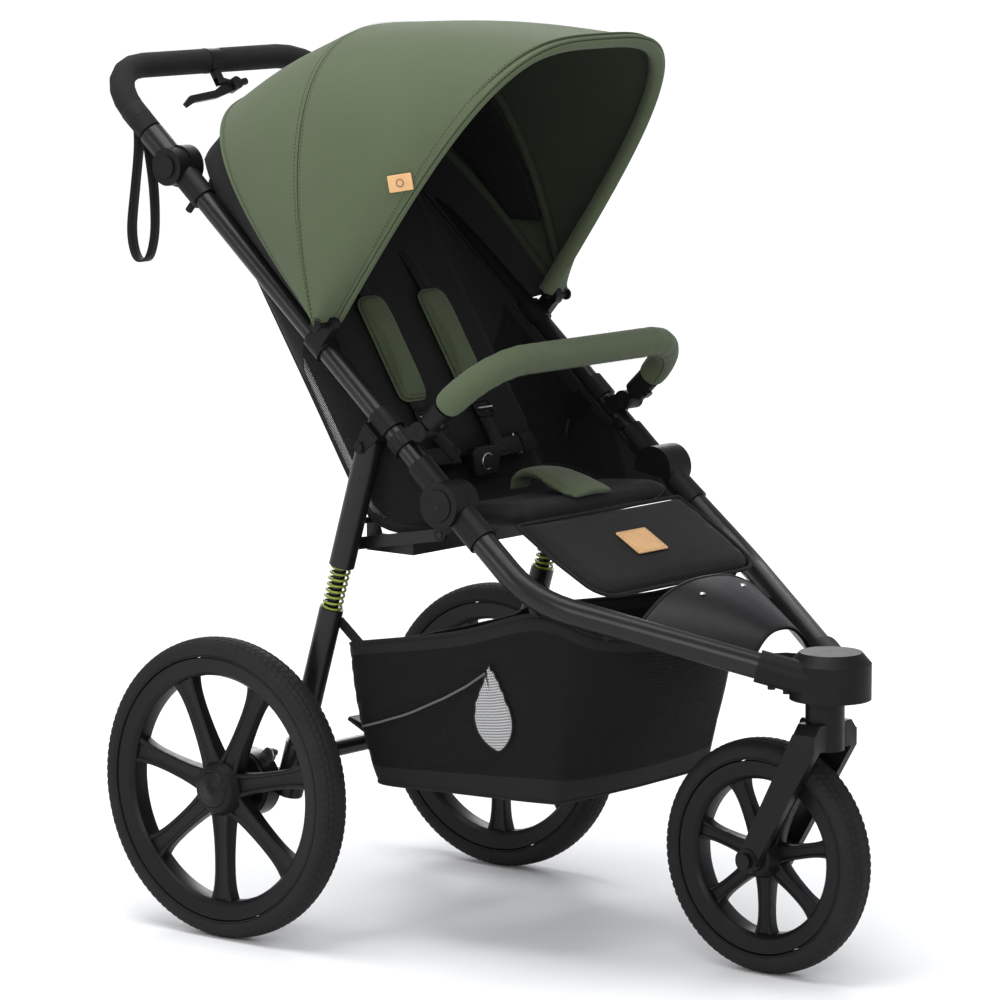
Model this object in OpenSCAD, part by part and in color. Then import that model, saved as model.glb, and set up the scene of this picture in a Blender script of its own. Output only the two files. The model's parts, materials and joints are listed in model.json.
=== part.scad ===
// Three-wheeled jogging stroller.  Millimetres, +Z up, the child faces -Y.
// The floor is z = 0 and the origin is under the middle of the whole.
// "Right" is the child's right, on the -X side.

/* [Frame] */
// Distance between the centre lines of the right and left frame tubes
frame_w = 440; // [370:2:530]
// Distance between the front and rear axles
wheelbase = 674; // [600:2:800]
// Height of the fold axis over the floor
fold_h = 600; // [560:2:700]
// How far the fold axis stands in front of the rear axle
fold_ahead = 332; // [300:2:360]
// Length from the fold axis to the handle hinge
push_len = 621; // [520:2:745]
// Slope of the push tubes over the floor
push_angle = 41; // [38:0.5:46]
// Diameter of the push tubes
push_tube_d = 28; // [24:0.5:30]
// Diameter of the lower front tubes
low_tube_d = 34; // [28:0.5:36]
// Wall of the frame tubes
tube_wall = 2; // [1.5:0.1:2.5]

/* [Handlebar] */
// Length from the handle hinge to the middle of the crossbar
handle_reach = 188; // [150:1:225]
// Radius of the handlebar corners
handle_corner = 85; // [60:1:95]
// Diameter of the handlebar tube
handle_tube_d = 25; // [21:0.5:27]
// Diameter of the foam grip
grip_d = 34; // [31:0.5:38]

/* [Rear legs] */
// Outer diameter of the upper leg sleeve
sleeve_d = 34; // [30:0.5:36]
// Outer diameter of the lower leg tube
leg_tube_d = 32; // [28:0.5:34]
// Outer diameter of the coil spring
spring_d = 28; // [26:0.5:32]
// Wire diameter of the coil spring
spring_wire = 3.6; // [3:0.1:4]
// Turns of the coil spring
spring_turns = 9; // [6:1:10]
// Travel of the rear suspension
travel = 20; // [10:1:24]

/* [Wheels] */
// Outer diameter of the rear tyres
rear_d = 400; // [340:2:480]
// Width of the rear tyres
rear_tyre_w = 47; // [40:1:54]
// Outer diameter of the front tyre
front_d = 305; // [255:1:365]
// Width of the front tyre
front_tyre_w = 50; // [44:1:56]
// Sideways distance from a rear leg to its wheel's centre plane
wheel_out = 68; // [66:0.5:84]
// Number of spokes in each wheel
spokes = 7; // [5:1:9]
// How far the front axle trails behind the swivel axis
trail = 88; // [80:1:100]

/* [Canopy] */
// How far the middle bow stands out beyond the frame tubes on each side
canopy_over = 36; // [30:1:42]
// Reach of the front bow from the canopy hinge
bow_front_r = 451; // [400:1:480]
// Reach of the middle bow from the canopy hinge
bow_mid_r = 382; // [340:1:400]
// Reach of the rear bow from the canopy hinge
bow_rear_r = 380; // [340:1:400]

/* [Seat and basket] */
// Width of the seat between its side walls
seat_w = 364; // [290:2:380]
// Thickness of the seat pad
pad_t = 24; // [16:1:30]
// Thickness of the back pad
back_t = 42; // [30:1:50]
// Diameter of the padded bumper bar
bumper_d = 37; // [32:0.5:42]
// Depth of the basket at its front
basket_drop = 170; // [120:2:190]

/* [Hidden] */
run_gap = 0.05;      // radial clearance of a running or sliding fit
part_gap = 0.5;      // clearance between parts that pass each other
soft_gap = 1.5;      // clearance round a soft part
half_w = frame_w / 2;

// Main places, as [y, z] in the side view
rear_axle = [wheelbase / 2 - 71, rear_d / 2];
front_axle = [-wheelbase / 2 - 71, front_d / 2];
fold_at = [rear_axle.x - fold_ahead, fold_h];
push_dir = [cos(push_angle), sin(push_angle)];
push_under = [sin(push_angle), -cos(push_angle)];
function along(d) = fold_at + d * push_dir;
handle_at = along(push_len);
bar_at = along(push_len + handle_reach);

// Fold hubs: the inner half belongs to the lower frame, the outer to the push tube
hub_r = 30;
hub_in = half_w - 20;
hub_mid = half_w + 1;
hub_out = half_w + 27;
hub_sleeve = 70;
sleeve_r = low_tube_d / 2 + 3;
push_sleeve_r = push_tube_d / 2 + 3.5;
tube_start = 44;
pin_r = 6;

// Front end
swivel_y = front_axle.x - trail;
crown_r = 25;
wheel_air = 9;
crown_z = front_axle.y + sqrt(pow(front_d / 2 + wheel_air, 2) - pow(trail - crown_r, 2));
crown_h = 62;
nose_z = crown_z + crown_h + 4;
nose_h = 60;
stem_r = 9;
nose_tube_z = nose_z + 31;
low_bend = [half_w + 6, fold_at.x - 137, fold_at.y - 111];
low_end = [43, swivel_y + 12, nose_tube_z];
low_bend_r = 140;

// Rear legs: pivot under the push tube, axis down to a foot ahead of the axle
leg_pivot_along = 144.7;
leg_pivot_drop = 42.4;
leg_pivot = along(leg_pivot_along) + leg_pivot_drop * push_under;
foot_ahead = 55;
foot_at = [rear_axle.x - foot_ahead, rear_axle.y];
leg_len = norm(foot_at - leg_pivot);
leg_dir = (foot_at - leg_pivot) / leg_len;
leg_lean = atan2(leg_dir.x, -leg_dir.y);
sleeve_len = 168;
spring_len = 60;
guide_r = 8;
function down_leg(d) = leg_pivot + d * leg_dir;
link_far = down_leg(140);
link_at = fold_at + [32.5, -45.4];
link_t = 3;
link_x = half_w - 23.5;
ear_r = 9;
pivot_bolt_r = 4;

// Canopy hinge and bows; each bow is [half width, reach, squareness, tilt]
canopy_at = [fold_at.x + 195, fold_at.y + 217];
front_bow = [half_w, bow_front_r, 3.5, 54];
mid_bow = [half_w + canopy_over, bow_mid_r, 2.4, 104];
rear_bow = [half_w + canopy_over - 8, bow_rear_r, 3.1, 133.5];
bow_w = 7;
bow_t = 2;

// Bumper bar
bumper_base = along(96) - (push_tube_d / 2 + 20) * push_under;
bumper_dir = [-cos(43.5), sin(43.5)];
bumper_face = [-bumper_dir.y, bumper_dir.x];
bumper_reach = 134;
bumper_x = half_w - 7;
function up_bumper(d) = bumper_base + d * bumper_dir;

// Seat outline in the side view
seat_rear = fold_at + [171, -27];
back_top = fold_at + [448, 408];
back_dir = (back_top - seat_rear) / norm(back_top - seat_rear);
back_face = [-back_dir.y, back_dir.x];
back_len = norm(back_top - seat_rear);
function on_back(d, off) = seat_rear + d * back_dir + off * back_face;
seat_half = seat_w / 2;

lower_tube(-1);  // lower_tube_right
lower_tube(1);  // lower_tube_left
fold_hub(-1);  // fold_hub_right
fold_hub(1);  // fold_hub_left
nose_casing();
footboard();
seat_base();
leg_rest();
basket();
fold_links();
fork();
front_axle();
swivel_lock();
front_rim();
front_tyre();
push_tube(-1);  // push_tube_right
push_tube(1);  // push_tube_left
push_hub(-1);  // push_hub_right
push_hub(1);  // push_hub_left
fold_pins();
fold_latches();
handle_hub(-1);  // handle_hub_right
handle_hub(1);  // handle_hub_left
leg_brackets();
canopy_mounts();
canopy_bow_rear();
canopy_rear_panel();
canopy_bow_mid();
canopy_front_panel();
canopy_bow_front();
backrest();
side_panel(-1);  // side_panel_right
side_panel(1);  // side_panel_left
shoulder_pads();
harness_straps();
crotch_pad();
buckle();
buckle_button();
bumper_mounts();
bumper_sockets();
bumper_buttons();
bumper_bar();
handlebar();
handle_grip();
handle_button(-1);  // handle_button_right
handle_button(1);  // handle_button_left
lever_bracket();
brake_lever();
brake_cable();
wrist_strap();
rear_legs();
rear_brace();
springs();
leg_tubes();
rear_axle_bar();
brake_pedal();
rear_rim(-1);  // rear_rim_right
rear_rim(1);  // rear_rim_left
rear_tyre(-1);  // rear_tyre_right
rear_tyre(1);  // rear_tyre_left

// ---------------------------------------------------------------- shapes
function unit(v) = v / norm(v);
function mix(a, b, k) = a + (b - a) * k;
// A place given as x and a [y, z] point of the side view
function at(x, p) = [x, p.x, p.y];

// Shapes are drawn on the left side and mirrored to the right one
module side(s) mirror([s < 0 ? 1 : 0, 0, 0]) children();
module both() for (s = [-1, 1]) side(s) children();

// Cylinder along X between two X values, about a [y, z] point
module xcyl(r, x0, x1, p) translate([x0, p.x, p.y]) rotate([0, 90, 0]) cylinder(r = r, h = x1 - x0);

// Cylinder between two points
module rod(a, b, r) {
  v = b - a;
  translate(a) rotate([0, acos(v.z / norm(v)), atan2(v.y, v.x)]) cylinder(r = r, h = norm(v));
}

// Polyline whose corners are bent to one radius, as a list of points
function arc(a, b, c, bend) = let (
    u = unit(a - b), v = unit(c - b), half = acos(u * v) / 2, m = b + unit(u + v) * bend / sin(half),
    e = unit(b + u * bend / tan(half) - m), turn = 180 - 2 * half)
  [for (k = [0:6]) m + bend * (cos(turn * k / 6) * e - sin(turn * k / 6) * u)];
function bent(p, bend) = [for (i = [0:len(p) - 1])
  each (i == 0 || i == len(p) - 1) ? [p[i]] : arc(p[i - 1], p[i], p[i + 1], bend)];

// Round bar along a list of points; r is one radius or one for each point, and
// ref is a direction that no part of it follows
module sweep(p, r, ref, n = 24) skin([for (i = [0:len(p) - 1]) let (
    t = unit(p[min(i + 1, len(p) - 1)] - p[max(i - 1, 0)]), e = unit(cross(ref, t)), f = cross(t, e))
  [for (j = [0:n - 1]) p[i] + (is_list(r) ? r[i] : r) * (cos(360 * j / n) * e
    + sin(360 * j / n) * f)]]);
module pipe(p, bend, r, ref) sweep(bent(p, bend), r, ref);

// Flat outline of the side view, given as [y, z] points, thick along X
module slab(points, x0, x1)
  translate([x0, 0, 0]) rotate([90, 0, 90]) linear_extrude(x1 - x0) polygon(points);

// Flat strap along [y, z] points, w wide about x and t thick
module strap(points, x, w, t) for (i = [0:len(points) - 2]) {
  d = points[i + 1] - points[i];
  translate(at(x, points[i])) rotate([atan2(d.y, d.x), 0, 0])
    translate([-w / 2, -t / 2, -t / 2]) cube([w, norm(d) + t, t]);
}

// Solid through rings of points; a ring runs anticlockwise seen from the next one.
// With cut_ends its ends are triangles, for a ring of four points that isn't flat
module skin(rings, cut_ends = false) {
  m = len(rings[0]);
  n = len(rings);
  last = (n - 1) * m;
  ends = cut_ends ? [[0, 1, 2], [0, 2, 3], [last + 2, last + 1, last], [last + 3, last + 2, last]]
    : [[for (j = [0:m - 1]) j], [for (j = [m - 1:-1:0]) last + j]];
  polyhedron([for (r = rings) each r], concat(ends,
    [for (i = [0:n - 2], j = [0:m - 1], k = [0, 1]) let (a = i * m + j, b = i * m + (j + 1) % m)
      k == 0 ? [a, a + m, b + m] : [a, b + m, b]]));
}

// ---------------------------------------------------------------- colours
alloy = [0.13, 0.13, 0.14];
plastic = [0.09, 0.09, 0.1];
rubber = [0.07, 0.07, 0.07];
cloth = [0.1, 0.1, 0.11];
olive = [0.36, 0.41, 0.33];
lime = [0.62, 0.68, 0.2];
steel = [0.7, 0.7, 0.72];

// ---------------------------------------------------------------- lower frame
low_start = at(half_w, fold_at);
low_dir = unit(low_bend - low_start);
low_line = [low_start + tube_start * low_dir, low_bend, low_end];

module lower_tube(s) color(alloy) side(s) difference() {
  pipe(low_line, low_bend_r, low_tube_d / 2, [0, 0, 1]);
  pipe([low_line[0] - low_dir, low_bend, low_end + unit(low_end - low_bend)],
    low_bend_r, low_tube_d / 2 - tube_wall, [0, 0, 1]);
}

module fold_hub(s) color(plastic) side(s) difference() {
  union() {
    xcyl(hub_r, hub_in, hub_mid - part_gap / 2, fold_at);
    rod(low_start, low_start + hub_sleeve * low_dir, sleeve_r);
    xcyl(ear_r, hub_in, hub_in + 5, link_at);
    slab([fold_at + [26, -10], link_at + [ear_r, 0], link_at - [ear_r, 0], fold_at - [10, 26]],
      hub_in, hub_in + 5);
  }
  xcyl(hub_r + part_gap, hub_mid - part_gap / 2, hub_out + 1, fold_at);
  rod(low_line[0], low_start + (hub_sleeve + 1) * low_dir, low_tube_d / 2 + run_gap);
  xcyl(pin_r + run_gap, hub_in - 1, hub_out, fold_at);
  xcyl(pivot_bolt_r + run_gap, hub_in - 1, hub_in + 6, link_at);
}

nose_r = 52;
nose_y = swivel_y - 8;
nose_back = 100;
socket_len = 52;
low_in = unit(low_bend - low_end);
module nose_casing() color(plastic) difference() {
  union() {
    translate([0, nose_y, nose_z]) cylinder(r = nose_r, h = nose_h - 14);
    translate([0, nose_y, nose_z + nose_h - 14]) cylinder(r1 = nose_r, r2 = nose_r - 12, h = 14);
    both() rod(low_end - 26 * low_in, low_end + socket_len * low_in, low_tube_d / 2 + 4);
    linear_nose_web();
    for (s = [-1, 1], d = [14, 34]) let (p = low_end + d * low_in)
      translate([s * p.x, p.y, p.z - low_tube_d / 2 - 8]) cylinder(r = 5, h = 8);
  }
  both() rod(low_end - run_gap * low_in, low_end + (socket_len + 1) * low_in,
    low_tube_d / 2 + run_gap);
  translate([0, swivel_y, nose_z - 1]) cylinder(r = stem_r + run_gap, h = nose_h - 10);
}
// Tongue between the two tubes, behind the swivel
module linear_nose_web() {
  translate([0, swivel_y, nose_tube_z - 13]) linear_extrude(26)
    polygon([[-44, 0], [44, 0], [47, 40], [34, nose_back - 14], [14, nose_back],
      [-14, nose_back], [-34, nose_back - 14], [-47, 40]]);
}
// Moulded arch between the lower tubes
foot_rise = 56;
foot_t = 5;
foot_from = 0.4;
foot_to = 0.7;
foot_parts = 5;
function foot_point(k, i) = let (p = mix(low_bend, low_end, k), w = p.x - low_tube_d / 2 - 4)
  [w * i / foot_parts, p.y, p.z - 8 - foot_t + foot_rise * (1 - pow(i / foot_parts, 2))];
module footboard() color(plastic) for (i = [-foot_parts:foot_parts - 1]) hull()
  for (k = [foot_from, foot_to], j = [i, i + 1])
    translate(foot_point(k, j) - [0.5, 0.5, 0]) cube([1, 1, foot_t]);

// ---------------------------------------------------------------- seat
seat_front = fold_at + [-66, -24];
rest_end = fold_at + [-204, -104];
seat_end = 80;
module seat_base() color(cloth) slab([fold_at + [seat_end, -42], fold_at + [seat_end, -42 + pad_t],
  fold_at + [-30, -14], seat_front, seat_front + [10, -pad_t], fold_at + [-20, -18 - pad_t]],
  -seat_half + 4, seat_half - 4);

module leg_rest() color(cloth) {
  w = seat_half - 14;
  len = norm(rest_end - seat_front) - 4;
  translate(at(0, seat_front + [-3, -3])) rotate([atan2(80, 138), 0, 0]) mirror([0, 1, 0])
    translate([0, 0, -14]) linear_extrude(14) difference() {
      polygon([[-w, 0], [w, 0], [w - 24, len], [24 - w, len]]);
      both() translate([w - 20, len + 4]) circle(r = 30);
    }
}

module backrest() color(cloth) slab([on_back(16, 2), on_back(back_len - 6, 2),
  on_back(back_len - 6, 18), on_back(back_len - 60, back_t + 2), on_back(30, back_t + 2)], -seat_half + 6, seat_half - 6);

wall_x = seat_half + soft_gap;
module side_panel(s) color(cloth) side(s) slab([fold_at + [-44, -20], fold_at + [96, -50],
  seat_rear + [-30, -20], seat_rear, back_top + [4, 0], along(push_len - 66), along(60),
  fold_at + [-8, 22]],
  wall_x, wall_x + 4);

pad_x = 62;
pad_from = 120;
pad_len = 155;
module shoulder_pads() color(olive) both() {
  p = on_back(pad_from, back_t + 6);
  translate(at(pad_x, p)) rotate([atan2(back_dir.y, back_dir.x), 0, 0])
    translate([-27, 0, 0]) cube([54, pad_len, 12]);
}
module harness_straps() color(cloth) both() {
  strap([on_back(pad_from - 3, back_t + 12), on_back(60, back_t + 10), on_back(30, back_t + 16)],
    pad_x, 25, 3);
  strap([on_back(pad_from + pad_len + 3, back_t + 12), on_back(340, back_t + 5)], pad_x, 25, 3);
}
module crotch_pad() color(olive) translate(at(0, fold_at)) {
  translate([-42, -14, -6]) cube([84, seat_end, 10]);
  translate([-19, 52, -17]) cube([38, 8, 12]);
}
buckle_at = fold_at + [128, 21];
module buckle() color(plastic) translate(at(0, buckle_at)) difference() {
  translate([-30, -8, -20]) cube([60, 16, 40]);
  translate([0, -3, 0]) rotate([90, 0, 0]) cylinder(r = 9 + run_gap, h = 9);
}
module buckle_button() color(plastic) translate(at(0, buckle_at + [-6, 0]))
  rotate([90, 0, 0]) cylinder(r = 9, h = 4.5);

// Fabric basket: walls and bottom of one shell, open at the top
basket_t = 2.5;
basket_floor_z = fold_at.y - 384;
basket_rear = foot_at.x - 134;
basket_front = fold_at.x - 122;
basket_lip = 30;
module basket_edge(half, y, z) translate([-half, y, z]) cube([2 * half, 2, 1]);
module basket_form(inset, lift) hull() {
  low = basket_floor_z + lift;
  basket_edge(half_w - 16 - inset, basket_rear - inset, low);
  basket_edge(half_w - 56 - inset, basket_front + inset, low);
  basket_edge(half_w - 20 - inset, basket_rear + 44 - inset, basket_floor_z + basket_drop);
  basket_edge(half_w - 24 - inset, basket_front - 56 + inset, basket_floor_z + basket_drop + basket_lip);
}
module basket() color(cloth) difference() {
  basket_form(0, 0);
  basket_form(basket_t, basket_t);
  translate([0, 0, 1]) basket_form(basket_t + 3, basket_drop / 2);
}

// ---------------------------------------------------------------- fold links
module fold_links() color(alloy) both() difference() {
  d = unit(link_far - link_at);
  n = [-d.y, d.x] * 8;
  union() {
    slab([link_at + n, link_far + n, link_far - n, link_at - n], link_x, link_x + link_t);
    xcyl(8, link_x, link_x + link_t, link_at);
    xcyl(8, link_x, link_x + link_t, link_far);
    xcyl(pivot_bolt_r, link_x, hub_in + 6, link_at);
  }
  xcyl(pivot_bolt_r + 1, link_x - 1, link_x + link_t + 1, link_far);
}

// ---------------------------------------------------------------- front fork and wheel
fork_x0 = front_tyre_w / 2 + 9;
fork_x1 = fork_x0 + 12;
axle_r = 6;
lock_at = [swivel_y + 12, crown_z + 30];
module fork() color(plastic) difference() {
  union() {
    translate([0, swivel_y, crown_z]) cylinder(r = crown_r, h = crown_h);
    translate([0, swivel_y, crown_z + crown_h]) cylinder(r = 32, h = 3.4);
    translate([0, swivel_y, crown_z + crown_h]) cylinder(r = stem_r, h = 4 + nose_h - 14);
    translate([0, swivel_y + 17, crown_z]) rotate([90, 0, 0]) linear_extrude(34)
      polygon([[-fork_x0, 36], [fork_x0, 36], [fork_x1, 22], [fork_x1, 2], [-fork_x1, 2],
        [-fork_x1, 22]]);
    both() {
      slab([[swivel_y - 17, crown_z + 24], [swivel_y + 17, crown_z + 24],
        front_axle + [13, 6], front_axle + [-13, -6], [swivel_y - 17, crown_z + 2]],
        fork_x0, fork_x1);
      xcyl(16, fork_x0 - 3, fork_x1 + 2, front_axle);
    }
  }
  xcyl(axle_r + run_gap, -fork_x1 - 3, fork_x1 + 3, front_axle);
  translate([0, swivel_y + 8, lock_at.y]) rotate([-90, 0, 0]) cylinder(r = 4 + run_gap, h = 30);
}
module front_axle() color(steel) {
  xcyl(axle_r, -fork_x1 - 8, fork_x1 + 8, front_axle);
  both() xcyl(10, fork_x1 + 2.2, fork_x1 + 8, front_axle);
}
module swivel_lock() color(plastic) translate([0, 0, lock_at.y]) {
  translate([0, swivel_y + 9, 0]) rotate([-90, 0, 0]) cylinder(r = 4, h = 20);
  translate([0, swivel_y + crown_r + 1, 0]) rotate([-90, 0, 0]) cylinder(r = 7, h = 9);
}

// Wheel about the X axis at the origin: d outside, w wide
rim_deep = 34;
function bead_r(d, w) = d / 2 - w * 0.62;
module rim(d, w, hub_w) {
  b = bead_r(d, w);
  difference() {
    union() {
      rotate([0, 90, 0]) rotate_extrude($fn = 96) difference() {
        translate([b - 22, -w / 2 + 5]) square([22, w - 10]);
        translate([b - 7, -w / 2 + 9]) square([8, w - 18]);
        translate([b - 23, -w / 2 + 4]) square([14, 5]);
        translate([b - 23, w / 2 - 9]) square([14, 5]);
      }
      for (i = [0:spokes - 1]) rotate([i * 360 / spokes, 0, 0]) {
        translate([-w / 4 + 2, -d / 34, 14]) cube([w / 2 - 4, d / 17, b - 32]);
        translate([-w / 4 + 2, 0, 0]) rotate([90, 0, 90]) linear_extrude(w / 2 - 4)
          polygon([[-d / 34, b - 44], [-d / 15, b - 20], [d / 15, b - 20], [d / 34, b - 44]]);
      }
      translate([-w / 4, 0, 0]) rotate([0, 90, 0]) cylinder(r = d / 11, h = w / 2);
      translate([-hub_w / 2, 0, 0]) rotate([0, 90, 0]) cylinder(r = 22, h = hub_w);
      rotate([180 / spokes + 8, 0, 0]) translate([-w / 4 - 2, 0, b - 40])
        cylinder(r = 2.6, h = 22);
    }
    translate([-w, 0, 0]) rotate([0, 90, 0]) cylinder(r = axle_r + run_gap, h = 2 * w);
  }
}
module tyre(d, w) rotate([0, 90, 0]) rotate_extrude($fn = 96) {
  b = bead_r(d, w) + run_gap;
  difference() {
    translate([d / 2 - w / 2, 0]) circle(r = w / 2, $fn = 40);
    translate([b - w, -w]) square([w, 2 * w]);
  }
}
module front_rim() color(plastic) translate(at(0, front_axle)) rim(front_d, front_tyre_w, 60);
module front_tyre() color(rubber) translate(at(0, front_axle)) tyre(front_d, front_tyre_w);

// ---------------------------------------------------------------- push frame
module push_tube(s) color(alloy) side(s) difference() {
  rod(at(half_w, along(tube_start)), at(half_w, along(push_len - tube_start)), push_tube_d / 2);
  rod(at(half_w, along(tube_start - 1)), at(half_w, along(push_len - tube_start + 1)),
    push_tube_d / 2 - tube_wall);
}
module push_hub(s) color(plastic) side(s) difference() {
  union() {
    xcyl(hub_r, hub_mid + part_gap / 2, hub_out, fold_at);
    rod(low_start, at(half_w, along(hub_sleeve)), push_sleeve_r);
  }
  xcyl(hub_r + part_gap, hub_in - 10, hub_mid + part_gap / 2, fold_at);
  xcyl(hub_r - 9, hub_out - 2, hub_out + 1, fold_at);
  rod(at(half_w, along(tube_start)), at(half_w, along(hub_sleeve + 1)), push_tube_d / 2 + run_gap);
  xcyl(pin_r + run_gap, hub_in, hub_out + 1, fold_at);
}
module fold_pins() color(plastic) both() {
  xcyl(pin_r, hub_in - 1, hub_out, fold_at);
  xcyl(hub_r - 9.5, hub_out - 2, hub_out + 1.5, fold_at);
}
// Sliders of the fold release, on the inner face of the push tubes
latch_along = 73;
module fold_latches() color(plastic) both()
  translate(at(half_w, along(latch_along))) rotate([push_angle, 0, 0]) difference() {
    translate([-19, 0, -6]) cube([8, 17, 12]);
    translate([0, -1, 0]) rotate([-90, 0, 0]) cylinder(r = push_tube_d / 2 + run_gap, h = 40);
  }

// Handle hinge: the push tube carries the outer half, the handlebar the inner half
hinge_r = 25;
hinge_out = half_w + 23;
handle_sleeve = 62;
button_r = 14.5;
button_out = 3;
module handle_hub(s) color(plastic) side(s) difference() {
  union() {
    xcyl(hinge_r, hub_mid + part_gap / 2, hinge_out, handle_at);
    rod(at(half_w, handle_at), at(half_w, along(push_len - handle_sleeve)), push_sleeve_r);
    post();
  }
  xcyl(hinge_r + 3 + part_gap, hub_in - 10, hub_mid + part_gap / 2, handle_at);
  xcyl(button_r + run_gap, hinge_out - 8, hinge_out + 1, handle_at);
  xcyl(pin_r + run_gap, hub_in, hinge_out - 7, handle_at);
  rod(at(half_w, along(push_len - tube_start)), at(half_w, along(push_len - handle_sleeve - 1)),
    push_tube_d / 2 + run_gap);
}
// Accessory post under the hub's sleeve
post_r = 5;
post_len = 14;
post_at = along(push_len - 52);
post_neck = 2;
module post() {
  rod(at(half_w, post_at), at(half_w, post_at + (push_sleeve_r + post_neck + 1) * push_under), post_r - 1);
  rod(at(half_w, post_at + (push_sleeve_r + post_neck) * push_under),
    at(half_w, post_at + (push_sleeve_r + post_len) * push_under), post_r);
}
module handle_button(s) color(plastic) side(s)
  xcyl(button_r, hinge_out - 4, hinge_out + button_out, handle_at);

arm_start = at(half_w, along(push_len + 31));
bar_corner = at(half_w, bar_at);
bar_line = [arm_start, bar_corner, [-half_w, bar_corner.y, bar_corner.z],
  [-half_w, arm_start.y, arm_start.z]];
bar_normal = at(0, push_under);
module handlebar() color(plastic) {
  pipe(bar_line, handle_corner, handle_tube_d / 2, bar_normal);
  both() difference() {
    union() {
      xcyl(hinge_r + 3, hub_in, hub_mid - part_gap / 2, handle_at);
      rod(at(half_w, handle_at), at(half_w, along(push_len + handle_sleeve)), push_sleeve_r);
      xcyl(pin_r, hub_in + 1, hinge_out - 9, handle_at);
    }
    difference() {
      xcyl(hinge_r + part_gap, hub_mid - part_gap / 2, hinge_out + 1, handle_at);
      xcyl(pin_r, hub_in, hinge_out - 9, handle_at);
    }
  }
}
grip_split = 13;
grip_gap = 0.3;
module handle_grip() color(rubber) both() difference() {
  p = [at(half_w, along(push_len + handle_sleeve + 4)), bar_corner,
    [grip_split, bar_corner.y, bar_corner.z]];
  pipe(p, handle_corner, grip_d / 2, bar_normal);
  pipe([p[0] - at(0, push_dir), p[1], p[2] - [1, 0, 0]], handle_corner,
    handle_tube_d / 2 + grip_gap, bar_normal);
}

// Brake lever: drawn in a frame at the crossbar, with -Z towards the lever
lever_lean = -28;
lever_drop = 38;
lever_x = 28;
lever_half = 3;
module lever_frame() translate(at(0, bar_at)) rotate([lever_lean, 0, 0]) children();
module lever_bracket() color(plastic) lever_frame() difference() {
  union() {
    translate([-grip_split + 1, 0, 0]) rotate([0, 90, 0])
      cylinder(r = handle_tube_d / 2 + 5, h = 2 * grip_split - 2);
    rod([1, 0, -14], [3, 0, -36], 7.5);
    rod([3, 0, -31], [lever_x, 0, -lever_drop], 6);
    translate([lever_x, -9, -lever_drop]) rotate([-90, 0, 0]) cylinder(r = 9, h = 18);
    rod([lever_x, 0, -lever_drop], [lever_x + 26, 0, -lever_drop + 4], 5);
  }
  translate([-50, 0, 0]) rotate([0, 90, 0]) cylinder(r = handle_tube_d / 2 + run_gap, h = 100);
  difference() {
    translate([lever_x - 40, -lever_half - 0.3, -lever_drop - 30])
      cube([51, 2 * lever_half + 0.6, 41]);
    translate([lever_x, -9, -lever_drop]) rotate([-90, 0, 0]) cylinder(r = 3, h = 18);
  }
}
module brake_lever() color(plastic) lever_frame() difference() {
  translate([lever_x, lever_half, -lever_drop]) rotate([90, 0, 0]) linear_extrude(2 * lever_half)
    difference() {
      union() {
        circle(r = 9);
        polygon([[0, 8.5], [-2, -8.5], [-44, -18], [-92, -22], [-108, -28], [-112, -22], [-96, -12],
          [-44, -7], [-14, 5]]);
      }
      circle(r = 3 + run_gap);
    }
}
cable_r = 2.5;
// Route from the lever to the left push tube, told from the crossbar's middle
cable_route = [[80, -29, -41], [120, -43, -50], [160, -66, -66], [184, -95, -88],
  [half_w - 27, -121, -107], [half_w - 27, -162, -141]];
module brake_cable() color(rubber) sweep(concat([[lever_x + 28, bar_at.x - 20, bar_at.y - 34]],
  [for (q = cable_route) q + at(0, bar_at)],
  [at(half_w - push_tube_d / 2 - cable_r - 1, along(push_len - 70))]), cable_r, [0.2, -0.8, 0.6], 10);
strap_hang = 178;
keeper_along = push_len + 98;
function loop_line(r) = concat([for (a = [0:15:180]) [r * cos(a), strap_hang + r * sin(a)]],
  [[-r / 2, 38 - r], [r / 2, 38 - r]]);
module wrist_strap() color(cloth) difference() {
  d = along(keeper_along);
  union() {
    rod(at(-half_w, along(keeper_along - 9)), at(-half_w, along(keeper_along + 5)), grip_d / 2 + 3);
    translate([-half_w, d.x - 10, d.y - 13]) {
      rotate([-90, 0, 0]) linear_extrude(18) difference() {
        polygon(loop_line(19));
        polygon(loop_line(17));
      }
      translate([-9, 0, -25]) cube([18, 14, 14]);
    }
  }
  rod(at(-half_w, along(keeper_along - 60)), at(-half_w, along(keeper_along + 8)),
    grip_d / 2 + part_gap);
}

// ---------------------------------------------------------------- bumper bar
socket_bumper = 46;
bumper_corner = 84;
bumper_normal = at(0, [bumper_dir.y, -bumper_dir.x]);
bumper_line = [at(bumper_x, up_bumper(22)), at(bumper_x, up_bumper(bumper_reach)),
  at(-bumper_x, up_bumper(bumper_reach)), at(-bumper_x, up_bumper(22))];
knuckle_r = 13;
knuckle_half = 15;
ring_from = 98;
ring_to = 118;
module bumper_mounts() color(plastic) both() difference() {
  union() {
    rod(at(half_w, along(ring_from)), at(half_w, along(ring_to)), push_tube_d / 2 + 3.5);
    for (x = [bumper_x - knuckle_half, bumper_x + 10.5]) {
      xcyl(knuckle_r, x, x + 4.5, bumper_base);
      slab([bumper_base + 11 * push_dir, saddle(ring_to, -16), saddle(ring_from, -16),
        bumper_base - 9 * push_dir], x, x + 4.5);
    }
    slab([saddle(ring_from, -12), saddle(ring_to, -12), saddle(ring_to, -saddle_to),
      saddle(ring_from, -saddle_to)], bumper_x - knuckle_half, bumper_x + knuckle_half);
    xcyl(4, bumper_x - knuckle_half, bumper_x + knuckle_half, bumper_base);
  }
  rod(at(half_w, along(ring_from - 1)), at(half_w, along(ring_to + 1)), push_tube_d / 2 + run_gap);
}
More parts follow.
